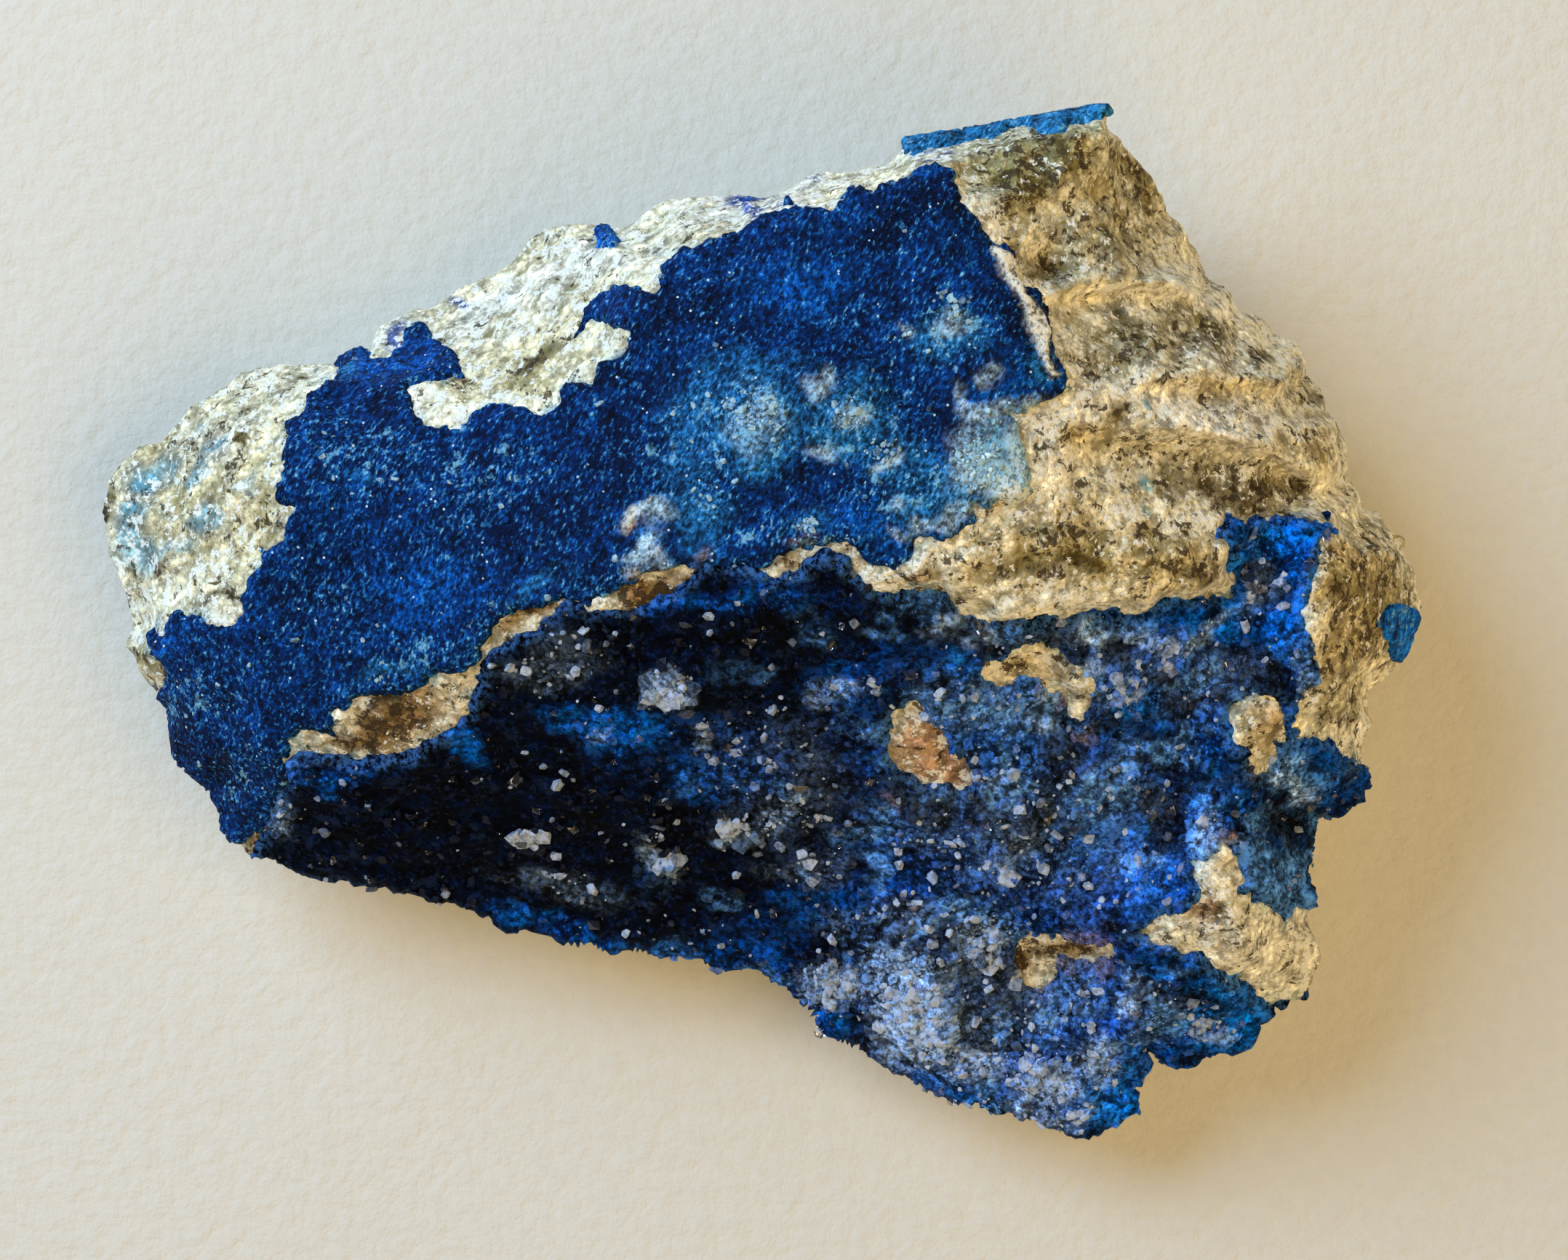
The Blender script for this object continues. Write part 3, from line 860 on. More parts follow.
@functools.cache
def relief_tree():
    """Lumps, chips and grains that stand up along a skin's normals, where "front" is above 0."""
    tree = bpy.data.node_groups.new("Stone relief", "GeometryNodeTree")
    given = named_inputs(tree, [
        ("Geometry", "NodeSocketGeometry", None),
        ("Material", "NodeSocketMaterial", None),
        ("Lump size", "NodeSocketFloat", 3 * MM),
        ("Lump height", "NodeSocketFloat", 0.3 * MM),
        ("Chip size", "NodeSocketFloat", 1 * MM),
        ("Chip height", "NodeSocketFloat", 0.2 * MM),
        ("Pattern", "NodeSocketFloat", 0.0),
    ])
    where = add(tree, "GeometryNodeInputPosition").outputs[0]
    front = add(tree, "GeometryNodeInputNamedAttribute", {"Name": "front"}).outputs[0]

    def scale(name):
        """A pattern's scale, from the size of its lumps."""
        return maths(tree, "DIVIDE", 1.0, given[name])

    lumps = add(tree, "ShaderNodeTexNoise", {
        "Vector": where, "W": given["Pattern"], "Scale": scale("Lump size"),
        "Detail": 4.0, "Roughness": 0.55,
    }, noise_dimensions="4D").outputs[0]
    stir = add(tree, "ShaderNodeTexNoise", {
        "Vector": where, "Scale": scale("Chip size"), "Detail": 2.0,
    }).outputs[1]
    stirred = vectors(tree, "SCALE", stir, Scale=CHIP_STIR)
    moved = vectors(tree, "ADD", where, stirred)
    chips = add(tree, "ShaderNodeTexVoronoi", {
        "Vector": moved, "W": given["Pattern"], "Scale": scale("Chip size"),
        "Detail": 1.0, "Randomness": 1.0,
    }, voronoi_dimensions="4D").outputs[0]
    lumps = times(tree, maths(tree, "SUBTRACT", lumps, 0.5), given["Lump height"])
    chips = times(tree, maths(tree, "SUBTRACT", CHIP_MIDDLE, chips), given["Chip height"])
    height = maths(tree, "ADD", times(tree, lumps, 2.0), chips)
    total = maths(tree, "ADD", given["Lump height"], given["Chip height"])
    share = maths(tree, "ADD", maths(tree, "DIVIDE", height, total), 0.5)
    stored = add(tree, "GeometryNodeStoreNamedAttribute", {
        "Geometry": given["Geometry"], "Name": "relief", "Value": share,
    }, data_type="FLOAT", domain="POINT").outputs[0]
    normal = add(tree, "GeometryNodeInputNormal").outputs[0]
    lift = times(tree, height, front)
    offset = vectors(tree, "SCALE", normal, Scale=lift)
    risen = add(tree, "GeometryNodeSetPosition", {"Geometry": stored, "Offset": offset}).outputs[0]
    return finished(tree, risen, given["Material"])


@functools.cache
def scatter_tree():
    """Crystals standing on a skin, thicker where its "crowd" value is high."""
    tree = bpy.data.node_groups.new("Crystal scatter", "GeometryNodeTree")
    given = named_inputs(tree, [
        ("Geometry", "NodeSocketGeometry", None),
        ("Material", "NodeSocketMaterial", None),
        ("Crystal", "NodeSocketObject", None),
        ("Spacing", "NodeSocketFloat", 0.3 * MM),
        ("Density", "NodeSocketFloat", 1e6),
        ("Smallest", "NodeSocketFloat", 0.2 * MM),
        ("Largest", "NodeSocketFloat", 0.8 * MM),
        ("Tilt", "NodeSocketFloat", 0.6),
        ("Seed", "NodeSocketInt", 1),
    ])
    crowd = add(tree, "GeometryNodeInputNamedAttribute", {"Name": "crowd"}).outputs[0]
    seats = add(tree, "GeometryNodeDistributePointsOnFaces", {
        "Mesh": given["Geometry"], "Distance Min": given["Spacing"], "Density Max": given["Density"],
        "Density Factor": crowd, "Seed": given["Seed"],
    }, distribute_method="POISSON")

    def chance(low, high, offset, kind="FLOAT"):
        """A random value for each grain. The offset keeps it apart from the others."""
        seed = add(tree, "FunctionNodeIntegerMath", (given["Seed"], offset), operation="ADD").outputs[0]
        return add(tree, "FunctionNodeRandomValue", {"Min": low, "Max": high, "Seed": seed}, data_type=kind)

    milk = add(tree, "GeometryNodeStoreNamedAttribute", {
        "Geometry": seats.outputs["Points"], "Name": "milk", "Value": chance(0.0, 1.0, 3).outputs[1],
    }, data_type="FLOAT", domain="POINT").outputs[0]
    bias = maths(tree, "POWER", chance(0.0, 1.0, 5).outputs[1], SMALL_POWER)
    size = add(tree, "ShaderNodeMapRange", {
        "Value": bias, "To Min": given["Smallest"], "To Max": given["Largest"],
    }).outputs[0]
    stretch = chance(NARROWEST, WIDEST, 7, "FLOAT_VECTOR").outputs[0]
    sizes = vectors(tree, "SCALE", stretch, Scale=size)
    high = vectors(tree, "SCALE", LEAN, Scale=given["Tilt"])
    low = vectors(tree, "SCALE", high, Scale=-1.0)
    lean = chance(low, high, 9, "FLOAT_VECTOR").outputs[0]
    turned = add(tree, "FunctionNodeRotateRotation", {
        "Rotation": seats.outputs["Rotation"],
        "Rotate By": add(tree, "FunctionNodeEulerToRotation", {"Euler": lean}).outputs[0],
    }, rotation_space="LOCAL").outputs[0]
    crystal = add(tree, "GeometryNodeObjectInfo", {"Object": given["Crystal"], "As Instance": True})
    grown = add(tree, "GeometryNodeInstanceOnPoints", {
        "Points": milk, "Instance": crystal.outputs["Geometry"], "Rotation": turned, "Scale": sizes,
    }).outputs[0]
    return finished(tree, grown, given["Material"])


def run_tree(piece, tree, **inputs):
    """Runs a Geometry Nodes tree on a piece and keeps what it makes as the piece's plain mesh."""
    modifier = piece.modifiers.new(tree.name, "NODES")
    modifier.node_group = tree
    for socket in tree.interface.items_tree:
        key = socket.name.lower().replace(" ", "_")
        if socket.in_out == "INPUT" and key in inputs:
            modifier[socket.identifier] = inputs[key]
    depsgraph = bpy.context.evaluated_depsgraph_get()
    made = bpy.data.meshes.new_from_object(piece.evaluated_get(depsgraph), depsgraph=depsgraph)
    made.name = piece.name
    piece.modifiers.remove(modifier)
    piece.data = made
    return piece


def placed(piece, slot, *nodes):
    """Ties a finished piece to the specimen, in place of the CAD nodes it stands for."""
    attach(piece, "root")
    if nodes:
        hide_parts(*nodes)
    print(f"{piece.name}: {len(piece.data.polygons)} faces")


# Materials.


def new_material(name, **values):
    """A material and its tree, shader and object coordinates. Values go to the shader's own sockets."""
    made = bpy.data.materials.new(name)
    made.use_nodes = True
    tree = made.node_tree
    shader = tree.nodes["Principled BSDF"]
    for key, value in values.items():
        shader.inputs[key.replace("_", " ")].default_value = value
    where = add(tree, "ShaderNodeTexCoord").outputs["Object"]
    return made, tree, shader, where


def attribute(tree, name, output):
    return add(tree, "ShaderNodeAttribute", attribute_name=name).outputs[output]


def cells(tree, where, size):
    """A random value for each grain of a size, and the distance to the grain's middle."""
    made = add(tree, "ShaderNodeTexVoronoi", {"Vector": where, "Scale": 1 / size, "Randomness": 1.0})
    return one_value(tree, made.outputs["Color"]), made.outputs["Distance"]


def one_value(tree, colour_output):
    return add(tree, "ShaderNodeSeparateColor", (colour_output,)).outputs[0]


def bump(tree, height, distance, normal=None):
    inputs = {"Height": height, "Distance": distance, "Strength": 1.0, "Normal": normal}
    return add(tree, "ShaderNodeBump", inputs).outputs[0]


def grey(tree, *values):
    """Values multiplied together, as a grey."""
    shade = functools.reduce(functools.partial(times, tree), values)
    return add(tree, "ShaderNodeCombineColor", (shade, shade, shade)).outputs[0]


def over(tree, value, edge, softness, strength):
    """How far a value passes an edge, up to a strength."""
    return spread(tree, maths(tree, "SUBTRACT", value, edge), 0.0, softness, 0.0, strength)


@functools.cache
def skarn_material():
    """Crumbly pale stone: white grains, brown between them, and dirt in the hollows."""
    settings = bpy.context.scene.specimen_matrix
    made, tree, shader, where = new_material("pale_skarn", Roughness=0.85, Specular_IOR_Level=0.2)
    tint = attribute(tree, "tint", "Color")
    relief = attribute(tree, "relief", "Fac")
    dirt = attribute(tree, "dirt", "Fac")
    sugar, gap = cells(tree, where, settings.sugar_size)
    patches = noise(tree, where, 2.6 * MM, 0.65)
    stained = noise(tree, where, 2.0 * MM, 0.75, 11.0, 0.4)
    crags = noise(tree, where, 1.3 * MM, 0.72, 2.0)
    specks = noise(tree, where, 0.9 * MM, 0.75, 5.0, 0.5)
    crumbs = noise(tree, where, 0.7 * MM, 0.75, 8.0)

    # Light and dark from grain to grain, patch to patch and crag to crag.
    shades = (
        spread(tree, sugar, 0.0, 1.0, 0.66, 1.28), spread(tree, patches, *MOST, 0.8, 1.2),
        spread(tree, crags, 0.36, 0.64, 0.5, 1.5),
    )
    base = mixed(tree, 1.0, tint, grey(tree, *shades), "MULTIPLY")

    # Brown between the grains and in the lows.
    brown = maths(tree, "ADD", spread(tree, patches, 0.42, 0.62, 0.0, 0.4), times(tree, dirt, 0.5))
    between = spread(tree, gap, 0.35, 0.7)
    base = mixed(tree, times(tree, between, brown), base, rgba(settings.olive))
    base = mixed(tree, spread(tree, relief, 0.42, 0.1, 0.0, 0.7), base, rgba(settings.olive))

    # Stains, white crumbs and dark specks, more or fewer of each with the dirt.
    edge = maths(tree, "SUBTRACT", 0.63, times(tree, dirt, 0.16))
    deeper = mixed(tree, 1.0, base, rgba(settings.olive), "MULTIPLY")
    base = mixed(tree, over(tree, stained, edge, 0.07, 0.85), base, deeper)
    edge = maths(tree, "ADD", 0.52, times(tree, dirt, 0.08))
    base = mixed(tree, over(tree, crumbs, edge, 0.04, 0.9), base, rgba(settings.chalk))
    edge = maths(tree, "SUBTRACT", 0.59, times(tree, dirt, 0.1))
    base = mixed(tree, over(tree, specks, edge, 0.04, 0.9), base, rgba(settings.umber))
    tree.links.new(base, shader.inputs["Base Color"])

    rough = bump(tree, crags, 0.4 * MM)
    rough = bump(tree, crumbs, 0.22 * MM, rough)
    rough = bump(tree, gap, -0.1 * MM, rough)
    tree.links.new(rough, shader.inputs["Normal"])
    return made


@functools.cache
def kinoite_material():
    """Deep blue felted needles with light flecks, mostly leaning one way, and a few bright glints."""
    settings = bpy.context.scene.specimen_kinoite
    made, tree, shader, where = new_material("kinoite_blue", Roughness=0.75, Specular_IOR_Level=0.1)
    tint = attribute(tree, "tint", "Color")
    relief = attribute(tree, "relief", "Fac")
    flecked = attribute(tree, "flecks", "Fac")
    rim = attribute(tree, "edge", "Fac")
    lean = add(tree, "ShaderNodeMapping", {
        "Vector": where, "Rotation": (0.0, 0.0, settings.lean), "Scale": (2.0, 1.0, 1.0),
    }, vector_type="TEXTURE").outputs[0]
    needles = noise(tree, lean, settings.fleck_size, 0.7)
    felt = noise(tree, where, FELT, 0.7, 3.0)
    mottle = noise(tree, where, 1.6 * MM, 0.65, 6.0)
    blobs = noise(tree, where, 1.0 * MM, 0.65, 9.0)
    glint, glint_middle = cells(tree, where, GLINT)

    # Light and dark from place to place and from needle to needle, and navy in the lows.
    shades = (
        spread(tree, mottle, *MOST, 0.45, 1.4), spread(tree, felt, *MOST, 0.3, 1.6),
        spread(tree, needles, *MOST, 0.35, 1.5),
    )
    base = mixed(tree, 1.0, tint, grey(tree, *shades), "MULTIPLY")
    base = mixed(tree, spread(tree, relief, 0.45, 0.1, 0.0, 0.85), base, rgba(settings.navy))

    # Light needle tips and worn places, more of them where flecks crowd and along the edge.
    patchy = maths(tree, "ADD", flecked, spread(tree, mottle, 0.42, 0.6, -0.2, 0.4))
    patchy = maths(tree, "ADD", patchy, times(tree, rim, 0.35))
    edge = maths(tree, "SUBTRACT", 0.57, times(tree, patchy, 0.09))
    base = mixed(tree, over(tree, needles, edge, 0.06, 0.5), base, rgba(settings.sky))
    edge = maths(tree, "ADD", edge, 0.1)
    base = mixed(tree, over(tree, needles, edge, 0.05, 0.8), base, rgba(settings.fleck))
    edge = maths(tree, "SUBTRACT", 0.7, times(tree, patchy, 0.17))
    worn = times(tree, over(tree, blobs, edge, 0.06, 0.75), spread(tree, felt, 0.4, 0.6, 0.2, 1.0))
    base = mixed(tree, worn, base, rgba(settings.fleck))

    # A few glints, and white mineral where the paint is pale.
    rare = maths(tree, "GREATER_THAN", glint, DULL)
    spot = times(tree, rare, spread(tree, glint_middle, 0.35, 0.25))
    base = mixed(tree, spot, base, rgba(settings.chalk))
    white = spread(tree, one_value(tree, tint), 0.25, 0.8, 0.0, 1.0)
    white = times(tree, white, spread(tree, felt, 0.4, 0.56, 0.1, 1.0))
    base = mixed(tree, white, base, tint)
    tree.links.new(base, shader.inputs["Base Color"])

    rough = bump(tree, felt, 0.25 * MM)
    rough = bump(tree, needles, 0.15 * MM, rough)
    tree.links.new(rough, shader.inputs["Normal"])
    return made


@functools.cache
def druse_material():
    """The lower crust's ground: dark blue between the grains, with chalky places."""
    settings = bpy.context.scene.specimen_kinoite
    made, tree, shader, where = new_material("kinoite_druse", Roughness=0.7, Specular_IOR_Level=0.06)
    tint = attribute(tree, "tint", "Color")
    relief = attribute(tree, "relief", "Fac")
    rim = attribute(tree, "edge", "Fac")
    grains, middle = cells(tree, where, GRAIN)
    small, _ = cells(tree, where, GRAIN / 2)
    felt = noise(tree, where, FELT, 0.7)
    mottle = noise(tree, where, 2.2 * MM, 0.65, 6.0)
    haze = noise(tree, where, 1.4 * MM, 0.7, 9.0)

    # Light and dark grains.
    shades = (
        spread(tree, grains, 0.0, 1.0, 0.4, 1.5), spread(tree, mottle, 0.38, 0.62, 0.3, 1.6),
        spread(tree, small, 0.0, 1.0, 0.6, 1.4), spread(tree, felt, *MOST, 0.3, 1.6),
    )
    base = mixed(tree, 1.0, tint, grey(tree, *shades), "MULTIPLY")

    # Lighter places, pitch in the lows, and powder along the edge.
    lit = mixed(tree, 1.0, tint, LIT_TIMES, "MULTIPLY")
    lit = mixed(tree, 1.0, lit, LIT_PLUS, "ADD")
    base = mixed(tree, over(tree, haze, 0.55, 0.08, 0.7), base, lit)
    base = mixed(tree, over(tree, felt, 0.58, 0.05, 0.8), base, lit)
    base = mixed(tree, spread(tree, relief, 0.42, 0.1, 0.0, 0.9), base, rgba(settings.pitch))
    powder = times(tree, rim, spread(tree, felt, 0.4, 0.6, 0.0, 0.45))
    base = mixed(tree, powder, base, rgba(settings.haze))
    tree.links.new(base, shader.inputs["Base Color"])

    rough = bump(tree, felt, 0.3 * MM)
    rough = bump(tree, middle, -0.3 * MM, rough)
    tree.links.new(rough, shader.inputs["Normal"])
    return made


@functools.cache
def clear_material():
    """Clear apophyllite: see-through, faintly lilac."""
    settings = bpy.context.scene.specimen_apophyllite
    made, _, shader, _ = new_material(
        "apophyllite_clear", Roughness=0.12, IOR=settings.ior, Transmission_Weight=1.0,
    )
    shader.inputs["Base Color"].default_value = rgba(settings.clear)
    return made


def grown_material(name, roughness, clearness, whitest, first_white):
    """Crystals that take up the ground's colour, some of them white, and more where they crowd."""
    settings = bpy.context.scene.specimen_apophyllite
    made, tree, shader, where = new_material(
        name, Roughness=roughness, IOR=settings.ior, Transmission_Weight=clearness, Specular_IOR_Level=0.05,
    )
    milk = attribute(tree, "milk", "Fac")
    crowd = attribute(tree, "crowd", "Fac")
    cloud = noise(tree, where, FELT, 0.7)
    edge = maths(tree, "SUBTRACT", first_white, times(tree, crowd, 0.65))
    white = times(tree, over(tree, milk, edge, 0.3, 1.0), spread(tree, cloud, 0.38, 0.62, 0.5, 1.25))
    shade = grey(tree, spread(tree, cloud, 0.38, 0.62, 0.3, 1.9))
    mottled = mixed(tree, 1.0, attribute(tree, "tint", "Color"), shade, "MULTIPLY")
    ground = mixed(tree, times(tree, milk, 0.02), mottled, rgba(settings.lilac))
    tree.links.new(mixed(tree, white, ground, rgba(whitest)), shader.inputs["Base Color"])
    tree.links.new(bump(tree, cloud, 0.08 * MM), shader.inputs["Normal"])
    return made


@functools.cache
def milky_material():
    settings = bpy.context.scene.specimen_apophyllite
    return grown_material("apophyllite_milky", 0.4, 0.2, settings.milky, 0.8)


@functools.cache
def powder_material():
    settings = bpy.context.scene.specimen_apophyllite
    return grown_material("apophyllite_powder", 0.7, 0.05, settings.powder, 0.8)


def paper_material():
    """Pale cotton paper with a soft tooth."""
    settings = bpy.context.scene.specimen_stage
    made, tree, shader, where = new_material("paper", Roughness=0.95, Specular_IOR_Level=0.1)
    tooth = noise(tree, where, 1.1 * MM)
    cockle = noise(tree, where, 14 * MM, 0.4, 4.0)
    base = mixed(tree, spread(tree, tooth, 0.3, 0.7, 0.0, 0.06), rgba(settings.paper), TOOTH)
    tree.links.new(base, shader.inputs["Base Color"])
    rough = bump(tree, tooth, 0.22 * MM)
    tree.links.new(bump(tree, cockle, 0.35 * MM, rough), shader.inputs["Normal"])
    return made


# Settings.


class MatrixSettings(bpy.types.PropertyGroup):
    """The pale stone."""

    cream: colour("Cream", "Clean broken stone", 246, 238, 208)
    lemon: colour("Lemon", "Yellowish stone", 240, 222, 172)
    clay: colour("Clay", "Pinkish brown stone", 192, 144, 108)
    chalk: colour("Chalk", "Bruised and powdery stone", 255, 252, 238)
    ochre: colour("Ochre", "Rust-stained stone", 204, 180, 126)
    olive: colour("Olive", "Green-brown stone", 142, 128, 70)
    umber: colour("Umber", "Dirt in pits and hollows", 62, 48, 30)
    drab: colour("Drab", "Grey granular stone", 150, 142, 118)
    tan: colour("Tan", "Stone along the ridge", 144, 102, 60)
    stain: colour("Stain", "Blue copper stain", 108, 172, 192)
    cobalt: colour("Cobalt", "Thin blue coating", 4, 70, 158)
    lump_height: length("Lump height", "How far lumps of broken stone stand up", 0.5)
    chip_height: length("Chip height", "How far chips stand up", 0.22)
    sugar_size: length("Sugar size", "Size of the calcite grains", 0.38)
    top_facet: length("Top facet", "Longest edge on the faces that show", 0.45)
    side_facet: length("Side facet", "Longest edge under the rim", 0.64)


class KinoiteSettings(bpy.types.PropertyGroup):
    """The blue crusts."""

    blue: colour("Blue", "Felted kinoite", 0, 48, 112)
    navy: colour("Navy", "Kinoite in hollows", 0, 14, 50)
    azure: colour("Azure", "Bright kinoite", 0, 88, 184)
    sky: colour("Sky", "Pale powdery kinoite", 40, 126, 184)
    royal: colour("Royal", "Bright places on the steep face", 0, 114, 232)
    haze: colour("Haze", "Cloudy places on the steep face", 88, 148, 226)
    frost: colour("Frost", "White places on the steep face", 170, 206, 255)
    chalk: colour("Chalk", "White mineral on the crust", 206, 232, 240)
    white: colour("White", "The vein along the crust's edge", 255, 250, 232)
    fleck: colour("Fleck", "Light tips of needles", 134, 196, 222)
    pitch: colour("Pitch", "The darkest hollows", 0, 2, 12)
    night: colour("Night", "The steep face's dark ground", 0, 9, 34)
    deep: colour("Deep", "The steep face's blue side", 0, 72, 168)
    ochre: colour("Ochre", "Stone showing through", 150, 116, 70)
    upper_rise: length("Upper rise", "How far the upper crust stands above the stone", 0.45)
    lower_rise: length("Lower rise", "How far the lower crust stands above the stone", 0.6)
    patch_rise: length("Patch rise", "How far the small crusts stand above the stone", 0.35)
    fleck_size: length("Fleck size", "Size of the light flecks", 0.22)
    upper_facet: length("Upper facet", "Longest edge on the upper crust", 0.42)
    lower_facet: length("Lower facet", "Longest edge on the lower crust", 0.48)
    lean: FloatProperty(
        name="Lean", description="Direction of the needles", default=math.radians(62), subtype="ANGLE"
    )


class ApophylliteSettings(bpy.types.PropertyGroup):
    """The clear and milky crystals."""

    clear: colour("Clear", "Clear crystals", 250, 246, 255)
    milky: colour("Milky", "The whitest crystals", 210, 226, 255)
    powder: colour("Powder", "Crystals grown through with kinoite", 176, 212, 226)
    lilac: colour("Lilac", "Haze in the darker crystals", 150, 160, 196)
    ior: FloatProperty(name="IOR", description="Refractive index", default=1.535, min=1, max=3)
    grain_smallest: length("Smallest grain", "Finest grain of the lower face", 0.2)
    grain_largest: length("Largest grain", "Coarsest clear grain of the lower face", 0.75)
    milky_largest: length("Largest milky grain", "Coarsest milky grain", 0.6)
    seed: IntProperty(name="Seed", description="Picks another arrangement", default=5, min=0)


class StageSettings(bpy.types.PropertyGroup):
    """Paper, light and camera."""

    paper: colour("Paper", "The paper under the specimen", 232, 228, 218)
    key_colour: colour("Key colour", "Window light", 183, 219, 255)
    fill_colour: colour("Fill colour", "Warm lamp on the other side", 255, 214, 134)
    room_colour: colour("Room colour", "Light from all round", 250, 236, 210)
    key_power: power("Key power", "Window light", 2.75)
    fill_power: power("Fill power", "Warm lamp", 3.2)
    room_strength: FloatProperty(name="Room strength", description="Light all round", default=0.3, min=0)
    view_width: length("View width", "Width of what the camera sees", 94.9)


# Operators.


def crust(name, depth_of, facet, rise, relief, material, tint_of, flecks_of=None, ridge_of=None):
    """A crust on the stone's skin: a frayed, lumpy front over a plain back sunk into the stone."""
    points, faces, normals = stone_skin()
    near = depth_of(points, normals) > -2 * EDGE_MARGIN
    points, faces, _ = kept_part(points, faces, near[faces].any(axis=1))
    depth = depth_of(points, normals_of(points, faces))
    edge = (depth > -2 * EDGE_MARGIN) & (depth < EDGE_BAND)
    points, faces = refined(points, faces, np.where(edge, facet * EDGE_SHARE, np.inf))
    depth = depth_of(points, normals_of(points, faces))
    points, faces, _ = kept_part(points, faces, (depth > -EDGE_MARGIN)[faces].any(axis=1))
    points, faces, _ = kept_part(points, without_pinches(faces), slice(None))

    rim = open_edges(faces)
    longest = np.full(len(points), facet)
    longest[rim] = np.inf
    skin, skin_faces = refined(points, faces, longest)
    normals = normals_of(skin, skin_faces)
    depth = depth_of(skin, normals)
    held = eased(*EDGE_RISE, depth)
    lift = (rise + CRUST_ROOT) * held - CRUST_ROOT
    if ridge_of:
        lift += held * ridge_of(skin)
    front = skin + normals * lift[:, None]
    back = points - normals_of(points, faces) * CRUST_BACK
    count, behind = len(front), np.zeros(len(back))
    a, b = rim.T
    walls = np.vstack((np.stack((b, a, a + count), 1), np.stack((b, a + count, b + count), 1)))
    shell = np.vstack((skin_faces, faces[:, ::-1] + count, walls))
    values = {
        "front": np.concatenate((held, behind)),
        "tint": np.vstack((tint_of(skin), tint_of(points))),
        "edge": np.concatenate((1 - eased(*EDGE_POWDER, depth), behind)),
    }
    if flecks_of:
        values["flecks"] = np.concatenate((flecks_of(skin), behind))
    piece = mesh_object(name, np.vstack((front, back)), shell, material, **values)
    return run_tree(piece, relief_tree(), material=material, **relief)


class SPECIMEN_OT_matrix(bpy.types.Operator):
    """Build the pale stone, finely broken where it shows and sunk a little under the crusts"""

    bl_idname = "specimen.matrix"
    bl_label = "Matrix rock"

    def execute(self, context):
        settings = context.scene.specimen_matrix
        points, faces, normals = stone_skin()
        cover = self.cover(points, normals)
        longest = np.where(normals[:, 2] > 0, settings.top_facet, settings.side_facet)
        longest = np.where((cover > HIDDEN) | (points[:, 2] < BASE_HEIGHT), BASE_FACET, longest)
        points, faces = refined(points, faces, longest)
        normals = normals_of(points, faces)
        cover = self.cover(points, normals)
        sink = SEAT_DEPTH * eased(*SEAT_SLOPE, cover)
        free = eased(BASE_HEIGHT, BASE_FADE, points[:, 2])
        coarse = COARSE_HEIGHT * layered_noise(points, COARSE_SIZE, SEEDS["coarse"])
        lift = (coarse * (1 - eased(0, COARSE_END, cover)) - sink) * free
        points = points + normals * lift[:, None]
        dirty = [spot for name in DIRTY for spot in MATRIX_BLOTCHES[name]]
        piece = mesh_object(
            "matrix_stone", points, faces, skarn_material(),
            front=free * (1 - BURIED * eased(0, SEAT_SLOPE[1], cover)),
            tint=self.tint(points, normals, cover, settings),
            dirt=covered(points, dirty, SEEDS["stone paint"]),
        )
        run_tree(
            piece, relief_tree(), material=skarn_material(), lump_height=settings.lump_height,
            chip_height=settings.chip_height, **STONE_RELIEF,
        )
        placed(piece, "pale_skarn", "matrix_rock")
        return {"FINISHED"}

    @staticmethod
    def tint(points, normals, cover, settings):
        """The painted stone, plain on its walls and stained blue in places beside the crusts."""
        tint = painted(points, settings.cream, MATRIX_BLOTCHES, settings, SEEDS["stone paint"])
        toward(tint, settings.cream, 1 - eased(*WALL_TURN, normals[:, 2]))
        spots = eased(0, 0.5, layered_noise(points, STAIN_SIZE, SEEDS["blue stain"]))
        toward(tint, settings.stain, eased(*STAIN_BAND, cover) * spots * STAIN_SHARE)
        return tint

    @staticmethod
    def cover(points, normals):
        depths = [upper_depth(points, normals), lower_depth(points, normals)]
        return np.max(depths + [patch_depth(points, normals, node) for node in PATCHES], axis=0)


class SPECIMEN_OT_upper_crust(bpy.types.Operator):
    """Build the velvety blue crust of the upper face"""

    bl_idname = "specimen.upper_crust"
    bl_label = "Upper kinoite crust"

    def execute(self, context):
        settings = context.scene.specimen_kinoite
        piece = crust(
            "kinoite_upper_felt", upper_depth, settings.upper_facet, settings.upper_rise,
            UPPER_RELIEF, kinoite_material(),
            lambda points: self.tint(points, settings),
            lambda points: covered(points, FLECKED, SEEDS["flecks"]),
            lambda points: VEIN_RISE * self.vein(points),
        )
        placed(piece, "kinoite_blue", "kinoite_crust_upper")
        return {"FINISHED"}

    @staticmethod
    def tint(points, settings):
        """The painted crust with its white vein."""
        tint = painted(points, settings.blue, UPPER_BLOTCHES, settings, SEEDS["upper paint"])
        toward(tint, settings.white, SPECIMEN_OT_upper_crust.vein(points))
        return tint

    @staticmethod
    def vein(points):
        return ribbon_share(frayed(points, VEIN_FRAYS, SEEDS["vein"]), VEIN)


